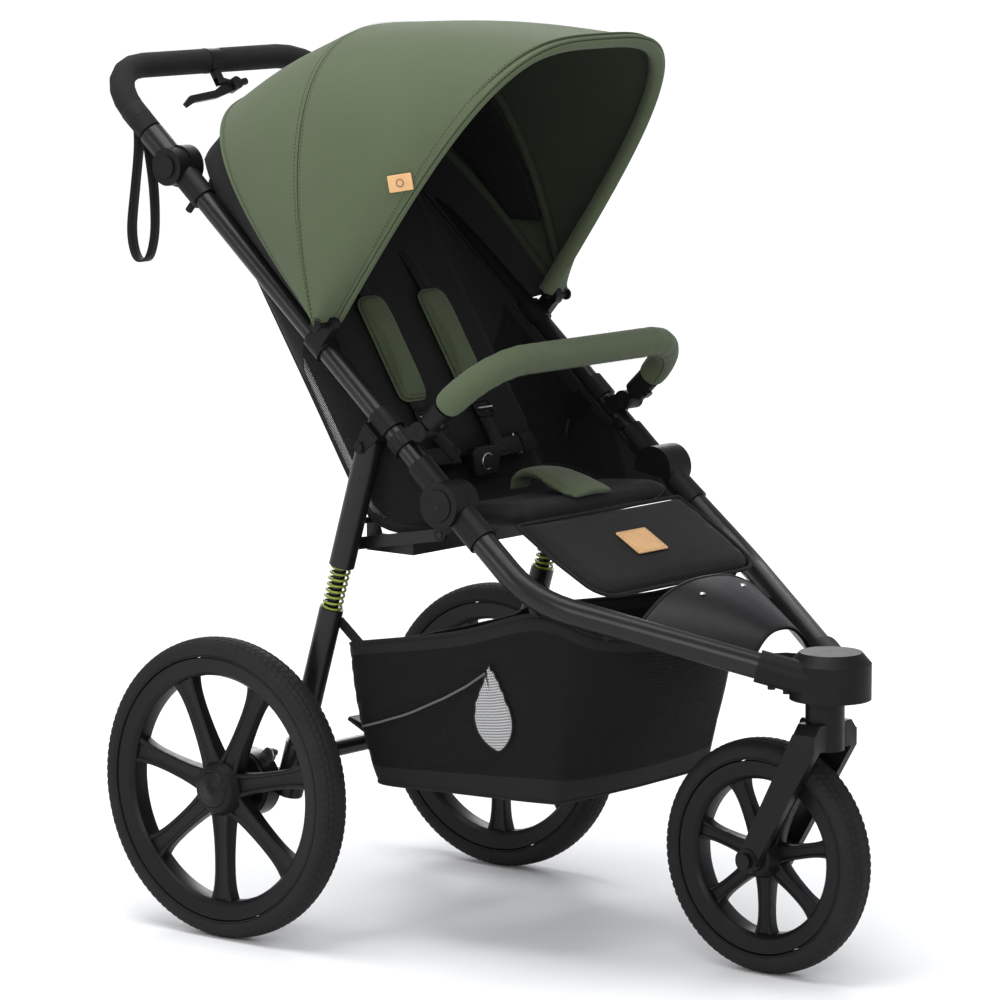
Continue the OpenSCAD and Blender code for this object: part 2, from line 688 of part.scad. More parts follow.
module bumper_sockets() color(plastic) both() difference() {
  union() {
    xcyl(knuckle_r, bumper_x - 10, bumper_x + 10, bumper_base);
    rod(at(bumper_x, up_bumper(16)), at(bumper_x, up_bumper(socket_bumper)), 15.5);
  }
  xcyl(4 + run_gap, bumper_x - 11, bumper_x + 11, bumper_base);
  rod(at(bumper_x, up_bumper(20)), at(bumper_x, up_bumper(socket_bumper + 1)), 9 + run_gap);
  rod(at(bumper_x, up_bumper(30)), at(bumper_x, up_bumper(30) + 20 * bumper_face), 6 + run_gap);
}
module bumper_buttons() color(plastic) both()
  rod(at(bumper_x, up_bumper(30) + 12.5 * bumper_face),
    at(bumper_x, up_bumper(30) + 18 * bumper_face), 6);
module bumper_bar() color(olive) {
  line = bent(bumper_line, bumper_corner);
  pad = [for (s = [1, -1]) for (d = [2, 4]) at(s * bumper_x, up_bumper(socket_bumper + d))];
  last = len(line) - 1;
  core = 9;
  sweep(concat([line[0], pad[0], pad[1]], [for (i = [1:last - 1]) line[i]], [pad[3], pad[2], line[last]]),
    concat([core, core, bumper_d / 2], [for (i = [1:last - 1]) bumper_d / 2], [bumper_d / 2, core, core]),
    bumper_normal);
}

// ---------------------------------------------------------------- canopy
module canopy_mounts() color(plastic) both() difference() {
  d = (canopy_at - fold_at) * push_dir;
  union() {
    rod(at(half_w, along(d - 15)), at(half_w, along(d + 15)), push_tube_d / 2 + 4);
    xcyl(12, half_w + 4, half_w + 18, canopy_at);
    slab([canopy_at + 11 * push_dir, along(d + 11), along(d - 11), canopy_at - 11 * push_dir],
      half_w + 4, half_w + 17);
    xcyl(4, half_w - 5, half_w + canopy_over + 4, canopy_at);
    xcyl(8, half_w + canopy_over + 1.8, half_w + canopy_over + 5, canopy_at);
  }
  rod(at(half_w, along(d - 16)), at(half_w, along(d + 16)), push_tube_d / 2 + run_gap);
}
// Place on a bow; u runs from -1 at one hinge to 1 at the other
function bow_t_at(u) = 90 + sign(u) * 90 * (1 - pow(1 - abs(u), 2.2));
function bow_point(b, u, out = 0) = let (
    t = bow_t_at(u), c = cos(t), q = pow(abs(c), 2 / b[2]) * b[0] * sign(c),
    r = b[1] * pow(abs(sin(t)), 2 / b[2]), p = [q, canopy_at.x - r * cos(b[3]),
    canopy_at.y + r * sin(b[3])]) p + out * unit(p - at(0, canopy_at - [0, 1]));
function bow_ring(b, u) = let (
    p = bow_point(b, u), d = unit(bow_point(b, min(u + 0.02, 1)) - bow_point(b, max(u - 0.02, -1))),
    w = [0, sin(b[3]), cos(b[3])], o = unit(cross(w, d)), f = cross(d, o))
  [for (k = [[1, 1], [-1, 1], [-1, -1], [1, -1]]) p + o * k.x * bow_t / 2 + f * k.y * bow_w / 2];
bow_steps = [for (i = [-12:12]) i / 12];
module bow(b) difference() {
  union() {
    skin([for (u = bow_steps) bow_ring(b, u)]);
    both() xcyl(9, b[0] - bow_t / 2, b[0] + bow_t / 2, canopy_at);
  }
  both() xcyl(4 + run_gap, b[0] - bow_t, b[0] + bow_t, canopy_at);
}
module canopy_bow_rear() color(plastic) bow(rear_bow);
module canopy_bow_mid() color(plastic) bow(mid_bow);
module canopy_bow_front() color(plastic) bow(front_bow);
// Fabric over two bows, from near one to near the other
panel_low = 7.6;
panel_high = 10.6;
function panel_point(a, b, k, u, out) = mix(bow_point(a, u, out), bow_point(b, u, out), k);
module panel(a, b) skin([for (i = [-11:11]) let (u = i / 12.4) [panel_point(a, b, 0.02, u, panel_low),
  panel_point(a, b, 0.98, u, panel_low), panel_point(a, b, 0.98, u, panel_high),
  panel_point(a, b, 0.02, u, panel_high)]], true);
module canopy_rear_panel() color(olive) panel(mid_bow, rear_bow);
module canopy_front_panel() color(olive) panel(front_bow, mid_bow);

// ---------------------------------------------------------------- rear legs
bracket_t = 3;
saddle_to = push_tube_d / 2 + 6.4;
// Place beside a push tube: d along it, off below its centre line
function saddle(d, off) = along(d) + off * push_under;
module leg_brackets() color(plastic) both() {
  difference() {
    union() {
      rod(at(half_w, along(leg_pivot_along - 16)), at(half_w, along(leg_pivot_along + 16)),
        push_tube_d / 2 + 3.5);
      for (x = [-sleeve_d / 2 - part_gap - bracket_t, sleeve_d / 2 + part_gap]) {
        slab([saddle(leg_pivot_along - 14, 16), saddle(leg_pivot_along + 14, 16),
          leg_pivot + 8 * push_dir, leg_pivot - 8 * push_dir], half_w + x, half_w + x + bracket_t);
        xcyl(9, half_w + x, half_w + x + bracket_t, leg_pivot);
      }
      slab([saddle(leg_pivot_along - 14, 12), saddle(leg_pivot_along + 14, 12),
        saddle(leg_pivot_along + 14, saddle_to), saddle(leg_pivot_along - 14, saddle_to)],
        half_w - sleeve_d / 2 - bracket_t, half_w + sleeve_d / 2 + bracket_t);
    }
    rod(at(half_w, along(leg_pivot_along - 17)), at(half_w, along(leg_pivot_along + 17)),
      push_tube_d / 2 + run_gap);
  }
  xcyl(pivot_bolt_r, half_w - sleeve_d / 2 - 4, half_w + sleeve_d / 2 + 4, leg_pivot);
  xcyl(7, half_w + sleeve_d / 2 + part_gap + bracket_t, half_w + sleeve_d / 2 + 7, leg_pivot);
}
module rear_legs() color(plastic) both() difference() {
  rod(at(half_w, down_leg(-10)), at(half_w, down_leg(sleeve_len)), sleeve_d / 2);
  xcyl(pivot_bolt_r + run_gap, half_w - sleeve_d, half_w + sleeve_d, leg_pivot);
  rod(at(half_w, down_leg(60)), at(half_w, down_leg(sleeve_len + 1)), guide_r + run_gap);
  rod(at(half_w, down_leg(sleeve_len - 8)), at(half_w, down_leg(sleeve_len + 1)),
    spring_d / 2 + 1);
}
// Flat U-shaped brace between the legs, inside the fold links and the seat's side walls
brace_x = seat_half - 1;
brace_t = 4;
brace_h = 24;
brace_at = down_leg(108);
brace_z = down_leg(138).y - brace_h / 2;
brace_front = fold_at.x + 101;
module rear_brace() color(alloy) {
  both() {
    slab([[brace_front - 1, brace_z], [brace_at.x + 8, brace_z], brace_at + [8, 0],
      brace_at + [4, 7], brace_at + [-4, 7], brace_at + [-10, 0], [brace_at.x - 16, brace_z + brace_h],
      [brace_front - 1, brace_z + brace_h]], brace_x - brace_t, brace_x);
    xcyl(pivot_bolt_r, brace_x - 1, half_w - sleeve_d / 2 + 1, brace_at);
  }
  translate([-brace_x, brace_front - brace_t, brace_z]) cube([2 * brace_x, brace_t, brace_h]);
}
spring_top = sleeve_len - 7.5;
spring_low = sleeve_len + spring_len;
module springs() color(lime) both() {
  r = (spring_d - spring_wire) / 2;
  coil = spring_low - spring_top - spring_wire;
  steps = spring_turns * 12;
  translate(at(half_w, down_leg(spring_low - spring_wire / 2))) rotate([leg_lean, 0, 0])
    sweep([for (i = [0:steps]) [r * cos(i * 30), r * sin(i * 30), coil * i / steps]],
      spring_wire / 2, [0, 0, 1], 6);
}
leg_top = sleeve_len + spring_len;
module leg_tubes() color(alloy) both() {
  rod(at(half_w, down_leg(leg_top)), at(half_w, down_leg(leg_len - 12)), leg_tube_d / 2);
  rod(at(half_w, down_leg(60 + travel + 4)), at(half_w, down_leg(leg_top + 1)), guide_r);
}
drum_r = 45;
drum_x = half_w + 7;
bar_tube_r = 11;
bar_at_leg = down_leg(leg_len - 40);
module rear_axle_bar() color(plastic) {
  both() {
    difference() {
      union() {
        rod(at(half_w, down_leg(leg_len - 62)), at(half_w, down_leg(leg_len + 12)),
          leg_tube_d / 2 + 3);
        slab([foot_at + [-4, 20], rear_axle + [2, 18], rear_axle + [2, -18], foot_at + [-10, -14]],
          half_w - 8, half_w + 6);
        xcyl(18, half_w - 8, half_w + 6, rear_axle);
      }
      rod(at(half_w, down_leg(leg_len - 63)), at(half_w, down_leg(leg_len - 11.9)),
        leg_tube_d / 2 + run_gap);
    }
    difference() {
      xcyl(drum_r, drum_x, drum_x + 26, rear_axle);
      xcyl(drum_r - 5, drum_x + 22, drum_x + 27, rear_axle);
    }
    xcyl(axle_r, half_w, half_w + wheel_out + 26, rear_axle);
    rod(at(half_w - 2, rear_axle + [-6, -34]), at(half_w - 2, rear_axle + [34, -26]), 5);
    rod(at(half_w - 2, rear_axle + [34, -26]), at(half_w - 2, rear_axle + [30, 26]), 3.5);
  }
  xcyl(bar_tube_r, -half_w + leg_tube_d / 2 + 2, half_w - leg_tube_d / 2 - 2, bar_at_leg);
  translate([-40, bar_at_leg.x - 16, bar_at_leg.y - 14]) cube([80, 34, 28]);
  xcyl(4, -38, 38, pedal_at);
  both() slab([bar_at_leg + [15, 10], pedal_at + [3, 6], pedal_at + [6, 0], pedal_at + [3, -6],
    bar_at_leg + [15, -13]], 32, 38);
}
pedal_at = bar_at_leg + [28, -2];
module brake_pedal() color(plastic) difference() {
  union() {
    xcyl(8, -30, 30, pedal_at);
    slab([pedal_at + [-2, 7], pedal_at + [46, 20], pedal_at + [49, 15], pedal_at + [4, -6]], -30, 30);
  }
  xcyl(4 + run_gap, -31, 31, pedal_at);
}
module rear_rim(s) color(plastic) translate([s * (half_w + wheel_out), 0, 0])
  translate(at(0, rear_axle)) rim(rear_d, rear_tyre_w, 56);
module rear_tyre(s) color(rubber) translate([s * (half_w + wheel_out), 0, 0])
  translate(at(0, rear_axle)) tyre(rear_d, rear_tyre_w);
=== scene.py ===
"""Jogging stroller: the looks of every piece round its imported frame, as an add-on and a script."""

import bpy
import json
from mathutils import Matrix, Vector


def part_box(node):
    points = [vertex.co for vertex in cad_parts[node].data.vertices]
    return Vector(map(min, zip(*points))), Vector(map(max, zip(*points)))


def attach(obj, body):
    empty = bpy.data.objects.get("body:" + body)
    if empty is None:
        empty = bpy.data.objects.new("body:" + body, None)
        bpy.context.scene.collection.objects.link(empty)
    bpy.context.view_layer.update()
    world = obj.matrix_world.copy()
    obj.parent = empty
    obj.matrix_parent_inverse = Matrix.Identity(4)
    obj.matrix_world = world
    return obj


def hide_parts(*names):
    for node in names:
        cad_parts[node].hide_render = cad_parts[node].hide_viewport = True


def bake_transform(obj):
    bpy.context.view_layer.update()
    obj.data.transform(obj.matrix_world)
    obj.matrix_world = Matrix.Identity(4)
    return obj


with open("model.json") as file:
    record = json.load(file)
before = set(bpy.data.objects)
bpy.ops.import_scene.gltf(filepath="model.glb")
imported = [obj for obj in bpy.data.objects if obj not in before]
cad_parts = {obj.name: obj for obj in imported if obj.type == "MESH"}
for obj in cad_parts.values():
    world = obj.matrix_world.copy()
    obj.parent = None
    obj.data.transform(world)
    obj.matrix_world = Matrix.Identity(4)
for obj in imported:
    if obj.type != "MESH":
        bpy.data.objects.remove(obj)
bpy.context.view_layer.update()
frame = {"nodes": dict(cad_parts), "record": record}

import json
import math

import bpy
import numpy as np
from bpy.props import FloatProperty, FloatVectorProperty, IntProperty, PointerProperty
from mathutils import Matrix, Vector

bl_info = {
    "name": "Jogging Stroller",
    "version": (1, 0, 0),
    "blender": (4, 5, 0),
    "location": "View3D > Sidebar > Stroller",
    "description": "Makes the fabrics, wheels and finishes of a folding three-wheeled stroller",
    "category": "Object",
}

# Places in the side view, as (y, z) in metres
FOLD = np.array([-0.066, 0.600])
PUSH = np.array([0.75471, 0.65606])
UNDER = np.array([0.65606, -0.75471])
HANDLE_AT = FOLD + 0.621 * PUSH
BAR_AT = FOLD + 0.809 * PUSH
SEAT_REAR = np.array([0.105, 0.573])
BACK_TOP = np.array([0.382, 1.008])
BACK = (BACK_TOP - SEAT_REAR) / np.linalg.norm(BACK_TOP - SEAT_REAR)
BACK_FACE = np.array([-BACK[1], BACK[0]])
SEAT_FRONT = np.array([-0.132, 0.576])
REST_END = np.array([-0.270, 0.496])
CANOPY_AT = np.array([0.129, 0.817])
REAR_AXLE = np.array([0.266, 0.200])
FRONT_AXLE = np.array([-0.408, 0.1525])
BUMPER_BASE = FOLD + 0.096 * PUSH - 0.034 * UNDER
BUMPER_DIR = np.array([-math.cos(math.radians(43.5)), math.sin(math.radians(43.5))])
HALF_W = 0.220
SIDES = ((-1, "right"), (1, "left"))

# Canopy bows as half width, reach, squareness and tilt
REAR_BOW = (0.248, 0.380, 3.1, math.radians(133.5))
MID_BOW = (0.256, 0.382, 2.4, math.radians(104))
FRONT_BOW = (0.220, 0.451, 3.5, math.radians(54))


# ---------------------------------------------------------------- settings


class StrollerSizes(bpy.types.PropertyGroup):
    """Sizes of the small details"""

    weave: FloatProperty(
        name="Weave", description="Pitch of the canvas weave", default=0.0016, unit="LENGTH"
    )
    mesh_pitch: FloatProperty(
        name="Mesh pitch", description="Pitch of the holes in the mesh fabric", default=0.0026,
        unit="LENGTH"
    )
    piping: FloatProperty(
        name="Piping", description="Radius of the piping cord", default=0.0022, unit="LENGTH"
    )
    stitch: FloatProperty(
        name="Stitch", description="Length of one stitch", default=0.0036, unit="LENGTH"
    )
    stitch_gap: FloatProperty(
        name="Stitch pitch", description="Distance between stitches", default=0.0056, unit="LENGTH"
    )
    tread_depth: FloatProperty(
        name="Tread depth", description="Depth of the tyre grooves", default=0.0017, unit="LENGTH"
    )
    tread_blocks: IntProperty(name="Tread blocks", description="Blocks round the rear tyre", default=116)
    spokes: IntProperty(name="Spokes", description="Spokes in each wheel", default=7)
    coil_turns: IntProperty(name="Coil turns", description="Turns of each coil spring", default=9)


def colour_property(name, description, rgb):
    return FloatVectorProperty(
        name=name, description=description, default=rgb, subtype="COLOR", size=3, min=0, max=1
    )


class StrollerColours(bpy.types.PropertyGroup):
    """Colours of the finishes"""

    olive: colour_property("Olive", "Outside of the canopy and the pads", (0.073, 0.092, 0.052))
    lining: colour_property("Lining", "Inside of the canopy", (0.026, 0.033, 0.021))
    canvas: colour_property("Canvas", "Black seat fabric", (0.0125, 0.0125, 0.0130))
    tube: colour_property("Tube", "Painted frame tubes", (0.0055, 0.0055, 0.0058))
    plastic: colour_property("Plastic", "Moulded parts", (0.0045, 0.0045, 0.0048))
    tyre: colour_property("Tyre", "Tyre rubber", (0.010, 0.010, 0.010))
    leather: colour_property("Leather", "Tabs and patch", (0.62, 0.36, 0.16))
    spring: colour_property("Spring", "Coil springs", (0.20, 0.26, 0.03))
    steel: colour_property("Steel", "Bright metal", (0.62, 0.62, 0.64))
    floor: colour_property("Floor", "Studio floor", (0.93, 0.93, 0.93))


def sizes():
    return bpy.context.scene.stroller_sizes


def colours():
    return bpy.context.scene.stroller_colours


# ---------------------------------------------------------------- materials


class Value:
    """A number that varies over a surface. Arithmetic on it adds Math nodes."""

    def __init__(self, paint, socket):
        self.paint = paint
        self.socket = socket

    def math(self, operation, *others):
        values = {i: v for i, v in enumerate((self, *others))}
        return self.paint.node("ShaderNodeMath", {"operation": operation}, values)

    def __add__(self, other):
        return self.math("ADD", other)

    __radd__ = __add__

    def __mul__(self, other):
        return self.math("MULTIPLY", other)

    __rmul__ = __mul__

    def __sub__(self, other):
        return self.math("SUBTRACT", other)

    def __rsub__(self, other):
        return self * -1 + other

    def sine(self):
        return self.math("SINE")

    def above(self, limit):
        return self.math("GREATER_THAN", limit)


class Paint:
    """One procedural material and the calls that its recipe uses."""

    def __init__(self, name):
        self.material = bpy.data.materials.new(name)
        self.material.use_nodes = True
        self.tree = self.material.node_tree
        self.tree.nodes.clear()

    def node(self, kind, settings=None, inputs=None, output=0):
        node = self.tree.nodes.new(kind)
        for key, value in (settings or {}).items():
            if key == "stops":
                self.stops(node.color_ramp, value)
            else:
                setattr(node, key, value)
        for key, value in (inputs or {}).items():
            if isinstance(value, Value):
                self.tree.links.new(value.socket, node.inputs[key])
            else:
                node.inputs[key].default_value = value
        return Value(self, node.outputs[output])

    @staticmethod
    def stops(ramp, values):
        while len(ramp.elements) < len(values):
            ramp.elements.new(1)
        for element, (place, rgb) in zip(ramp.elements, values):
            element.position = place
            element.color = (*rgb, 1)

    def place(self):
        return self.node("ShaderNodeTexCoord", output="Object")

    def along(self, direction, pitch):
        """Phase of a pattern that repeats every pitch metres along a direction."""
        turns = [2 * math.pi / pitch * d for d in direction]
        return self.node(
            "ShaderNodeVectorMath", {"operation": "DOT_PRODUCT"}, {0: self.place(), 1: turns}, "Value"
        )

    def noise(self, scale, detail=2.0, roughness=0.5):
        return self.node(
            "ShaderNodeTexNoise", None,
            {"Vector": self.place(), "Scale": scale, "Detail": detail, "Roughness": roughness}, "Fac",
        )

    def cells(self, scale):
        return self.node(
            "ShaderNodeTexVoronoi", None, {"Vector": self.place(), "Scale": scale}, "Distance"
        )

    def weave(self, pitch):
        """Threads crossing each other, whichever way the surface faces."""
        across = self.along((1, 0, 0), pitch).sine() * self.along((0, 0.77, 0.64), pitch).sine()
        sides = self.along((0, 0.64, -0.77), pitch).sine() * self.along(
            (0, 0.77, 0.64), pitch * 1.01
        ).sine()
        return across + sides * 0.6

    def mix(self, amount, first, second):
        return self.node(
            "ShaderNodeMix", {"data_type": "RGBA"}, {0: amount, 6: (*first, 1), 7: (*second, 1)}, 2,
        )

    def bump(self, height, distance, strength=1.0):
        return self.node(
            "ShaderNodeBump", None, {"Height": height, "Distance": distance, "Strength": strength}
        )

    def finish(self, colour, roughness, normal=None, **constants):
        inputs = {
            "Base Color": colour if isinstance(colour, Value) else (*colour, 1), "Roughness": roughness
        }
        if normal is not None:
            inputs["Normal"] = normal
        inputs.update({key.replace("_", " "): value for key, value in constants.items()})
        shader = self.node("ShaderNodeBsdfPrincipled", None, inputs)
        output = self.tree.nodes.new("ShaderNodeOutputMaterial")
        self.tree.links.new(shader.socket, output.inputs["Surface"])
        return self.material


def shade(rgb, factor):
    return tuple(min(1.0, c * factor) for c in rgb)


def woven(name, rgb, roughness=0.85, pitch=None, strength=0.35, sheen=0.03):
    """Woven cloth with uneven dye, thread bump and a little fuzz."""
    paint = Paint(name)
    weave = paint.weave(pitch or sizes().weave)
    dye = paint.noise(9, 4) * 0.5 + paint.noise(420, 2) * 0.5
    colour = paint.mix(dye, shade(rgb, 0.82), shade(rgb, 1.18))
    height = weave * 0.5 + paint.noise(900, 3) * 0.6 + paint.noise(38, 3) * 1.2
    rough = paint.noise(60, 2) * 0.12 + (roughness - 0.06)
    return paint.finish(
        colour, rough, paint.bump(height, 0.0004, strength), Sheen_Weight=sheen, Sheen_Roughness=0.5,
        Specular_IOR_Level=0.12
    )


def holed(name, rgb, pitch, open_share=0.30):
    """Mesh fabric: staggered holes between threads."""
    paint = Paint(name)
    first = paint.along((0.5, 0.72, 0.48), pitch).sine() * paint.along((0.5, -0.48, 0.72), pitch).sine()
    colour = paint.mix(paint.noise(300, 2), shade(rgb, 0.8), shade(rgb, 1.3))
    alpha = 1 - first.above(1 - open_share * 2) * 0.9
    return paint.finish(
        colour, 0.8, paint.bump(first * -1, 0.0006, 0.5), Alpha=alpha, Specular_IOR_Level=0.1
    )


def moulded(name, rgb, roughness=0.5, grain=1100, strength=0.16, clear=0.0):
    """Moulded plastic or paint: fine grain, faint blotches and rubbed patches."""
    paint = Paint(name)
    colour = paint.mix(paint.noise(26, 4), shade(rgb, 0.85), shade(rgb, 1.35))
    rough = paint.noise(90, 3) * 0.16 + (roughness - 0.08)
    height = paint.noise(grain, 2) + paint.noise(grain / 5, 2) * 0.3
    return paint.finish(
        colour, rough, paint.bump(height, 0.0002, strength), Coat_Weight=clear, Coat_Roughness=0.25,
        Specular_IOR_Level=0.16
    )


def rubbery(name, rgb, roughness, cell, strength):
    """Rubber or foam: pitted skin with dusty patches."""
    paint = Paint(name)
    colour = paint.mix(paint.noise(18, 5, 0.6), shade(rgb, 0.8), shade(rgb, 1.7))
    height = paint.cells(cell) + paint.noise(cell * 1.5, 2) * 0.7
    rough = paint.noise(50, 3) * 0.15 + (roughness - 0.07)
    return paint.finish(colour, rough, paint.bump(height, 0.0005, strength), Specular_IOR_Level=0.18)


def metal(name, rgb, roughness, metallic=1.0):
    paint = Paint(name)
    streaks = paint.along((0.3, 0.5, 0.8), 0.0007).sine() * 0.3 + paint.noise(240, 4)
    rough = streaks * 0.12 + roughness
    colour = paint.mix(paint.noise(40, 3), shade(rgb, 0.85), shade(rgb, 1.1))
    return paint.finish(colour, rough, paint.bump(streaks, 0.0001, 0.2), Metallic=metallic)


def leather(name, rgb):
    paint = Paint(name)
    grain = paint.cells(620) + paint.noise(900, 3) * 0.5
    colour = paint.mix(paint.noise(70, 5), shade(rgb, 0.74), shade(rgb, 1.15))
    return paint.finish(colour, paint.noise(120, 2) * 0.2 + 0.45, paint.bump(grain, 0.0005, 0.5))


PAINTS = {}


def make_paints():
    c = colours()
    PAINTS.update(
        tube=moulded("painted_tube", tuple(c.tube), 0.36, 1500, 0.06, 0.25),
        plastic=moulded("grained_plastic", tuple(c.plastic), 0.5, 1100, 0.18),
        satin=moulded("satin_plastic", shade(c.plastic, 1.2), 0.38, 700, 0.08),
        tyre=rubbery("tyre_rubber", tuple(c.tyre), 0.74, 700, 0.3),
        foam=rubbery("foam_rubber", shade(c.tyre, 0.9), 0.82, 1400, 0.55),
        olive=woven("olive_canvas", tuple(c.olive), sheen=0.08),
        lining=woven("olive_lining", tuple(c.lining)),
        canvas=woven("black_canvas", tuple(c.canvas), 0.8),
        webbing=woven("black_webbing", shade(c.canvas, 0.9), 0.62, 0.0022, 0.7),
        mesh=holed("black_mesh", shade(c.canvas, 0.8), sizes().mesh_pitch),
        window=holed("light_mesh", (0.42, 0.42, 0.42), sizes().mesh_pitch * 1.5, 0.4),
        olive_thread=woven("olive_thread", shade(c.olive, 0.62), 0.6, 0.0008),
        black_thread=woven("black_thread", shade(c.canvas, 1.8), 0.6, 0.0008),
        grey_piping=woven("grey_piping", (0.10, 0.10, 0.105), 0.55, 0.0012),
        leather=leather("tan_leather", tuple(c.leather)),
        burnt=leather("burnt_leather", shade(c.leather, 0.35)),
        steel=metal("bright_steel", tuple(c.steel), 0.24),
        spring=metal("painted_spring", tuple(c.spring), 0.3, 0.25),
        cable=moulded("cable_sheath", shade(c.plastic, 0.9), 0.35, 800, 0.05),
    )


# Finishes that each material slot stands for; leather tabs have none
SLOT_PAINTS = {
    "black_fabric": ("canvas", "webbing", "mesh", "window", "black_thread", "grey_piping"),
    "olive_fabric": ("olive", "lining", "olive_thread"),
    "plastic": ("plastic", "satin"),
    "tyre": ("tyre",),
    "steel": ("steel",),
    "spring_paint": ("spring",),
    "cable": ("cable",),
}


# ---------------------------------------------------------------- mesh tools


def solid(name, verts, faces, paint, body, replaces=()):
    """One mesh piece that rides on a body."""
    data = bpy.data.meshes.new(name)
    data.from_pydata([tuple(map(float, v)) for v in verts], [], [tuple(map(int, f)) for f in faces])
    data.validate()
    obj = bpy.data.objects.new(name, data)
    bpy.context.scene.collection.objects.link(obj)
    paints = [paint] if isinstance(paint, str) else paint
    for each in paints:
        data.materials.append(PAINTS[each])
    data.polygons.foreach_set("use_smooth", [True] * len(data.polygons))
    if body:
        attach(obj, body)
    if replaces:
        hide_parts(*replaces)
    for slot, finishes in SLOT_PAINTS.items():
        paints[0] in finishes
    return obj


def add(obj, kind, name, **settings):
    modifier = obj.modifiers.new(name, kind)
    for key, value in settings.items():
        setattr(modifier, key, value)
    return modifier


def soften(obj, width, segments=2, angle=0.5):
    """Rounds the edges that turn by more than an angle."""
    add(
        obj, "BEVEL", "soft_edges", width=width, segments=segments, limit_method="ANGLE",
        angle_limit=angle
    )


def smooth_cloth(obj):
    add(obj, "SUBSURF", "smooth_cloth", levels=1, render_levels=1)


def grid_faces(rows, columns, close_rows=False, close_columns=False):
    faces = []
    for i in range(rows if close_rows else rows - 1):
        for j in range(columns if close_columns else columns - 1):
            k, l = (i + 1) % rows, (j + 1) % columns
            faces.append((i * columns + j, k * columns + j, k * columns + l, i * columns + l))
    return faces


def capped(rows, columns):
    """Faces that close both ends of a ringed form."""
    return [tuple(range(columns))[::-1], tuple(range((rows - 1) * columns, rows * columns))]


def spline(points, count, closed=False):
    """Smooth line through the given points, evenly spaced."""
    p = np.array(points, float)
    n = len(p)
    at = (lambda i: p[i % n]) if closed else (lambda i: p[min(max(i, 0), n - 1)])
    fine = []
    for i in range(n if closed else n - 1):
        a, b, c, d = at(i - 1), at(i), at(i + 1), at(i + 2)
        for t in np.linspace(0, 1, 24, endpoint=False):
            fine.append(
                0.5
                * (
                    2 * b + (c - a) * t + (2 * a - 5 * b + 4 * c - d) * t**2 + (3 * b - a - 3 * c + d)
                    * t**3
                )
            )
    fine.append(p[0] if closed else p[-1])
    fine = np.array(fine)
    return even(fine, count + 1)[:-1] if closed else even(fine, count)


def even(line, count):
    """The same line with points the same distance apart."""
    line = np.array(line, float)
    length = np.concatenate([[0], np.cumsum(np.linalg.norm(np.diff(line, axis=0), axis=1))])
    places = np.linspace(0, length[-1], count)
    return np.stack([np.interp(places, length, line[:, i]) for i in range(3)], 1)


def around(count):
    """Angles evenly spaced round a circle."""
    return np.linspace(0, 2 * math.pi, count, endpoint=False)


def closed(points):
    """The points with the first one again at the end."""
    return np.vstack([points, points[:1]])


def unit(v):
    return v / np.maximum(np.linalg.norm(v, axis=-1, keepdims=True), 1e-12)


def frames(line, closed=False):
    """Directions along a line and two across it that don't twist."""
    line = np.array(line, float)
    if closed:
        t = unit(np.roll(line, -1, 0) - np.roll(line, 1, 0))
    else:
        t = unit(np.gradient(line, axis=0))
    first = np.cross(t[0], (0.13, 0.31, 0.94))
    side = [unit(first)]
    for d in t[1:]:
        side.append(unit(side[-1] - d * np.dot(side[-1], d)))
    side = np.array(side)
    return t, side, np.cross(t, side)


def tube(name, line, radius, paint, body, sides=14, closed=False, **more):
    """Round bar along a line, with one radius or one for each point."""
    t, side, up = frames(line, closed)
    r = np.broadcast_to(np.array(radius, float).reshape(-1, 1, 1), (len(line), 1, 1))
    a = around(sides)[None, :, None]
    verts = np.array(line)[:, None] + r * (np.cos(a) * side[:, None] + np.sin(a) * up[:, None])
    faces = grid_faces(len(line), sides, closed, True)
    if not closed:
        faces += capped(len(line), sides)
    return solid(name, verts.reshape(-1, 3), [f[::-1] for f in faces], paint, body, **more)


def strap(name, line, normals, width, thick, paint, body, **more):
    """Flat webbing along a line; normals point out of its face."""
    line, normals = np.array(line, float), unit(np.array(normals, float))
    t = unit(np.gradient(line, axis=0))
    across = unit(np.cross(t, normals))
    corners = [(-1, -0.5), (-0.96, 0.5), (0.96, 0.5), (1, -0.5)]
    verts = np.stack([line + across * width / 2 * x + normals * thick * y for x, y in corners], 1)
    faces = grid_faces(len(line), 4, False, True) + capped(len(line), 4)
    return solid(name, verts.reshape(-1, 3), faces, paint, body, **more)


def sheet(name, points, paint, body, thick=0.0014, material_rows=None, **more):
    """Cloth through a grid of points, given a thickness, with its second finish inside."""
    points = np.array(points, float)
    rows, columns = points.shape[:2]
    obj = solid(name, points.reshape(-1, 3), grid_faces(rows, columns), paint, body, **more)
    if material_rows is not None:
        for face, index in zip(obj.data.polygons, material_rows):
            face.material_index = index
    add(
        obj, "SOLIDIFY", "cloth_thickness", thickness=thick, offset=-1,
        material_offset=1 if isinstance(paint, tuple) and material_rows is None else 0
    )
    return obj


def stitches(name, line, normals, paint, body, radius=0.0005, **more):
    """A row of thread stitches lying on a surface."""
    line, normals = np.array(line, float), np.array(normals, float)
    length = np.linalg.norm(np.diff(line, axis=0), axis=1).sum()
    count = max(2, int(length / sizes().stitch_gap))
    fine, out = even(line, count), unit(even(normals, count))
    t = unit(np.gradient(fine, axis=0))
    across = unit(np.cross(t, out))
    half = sizes().stitch / 2
    corners = np.stack(
        [
            fine - t * half, fine + across * radius * 1.3, fine + out * radius * 1.5,
            fine - across * radius * 1.3, fine + t * half
        ],
        1
    )
    faces = [
        [5 * k + i for i in f] for k in range(count)
        for f in ((0, 1, 2), (0, 2, 3), (4, 2, 1), (4, 3, 2), (0, 3, 1), (4, 1, 3))
    ]
    return solid(name, corners.reshape(-1, 3), faces, paint, body, **more)


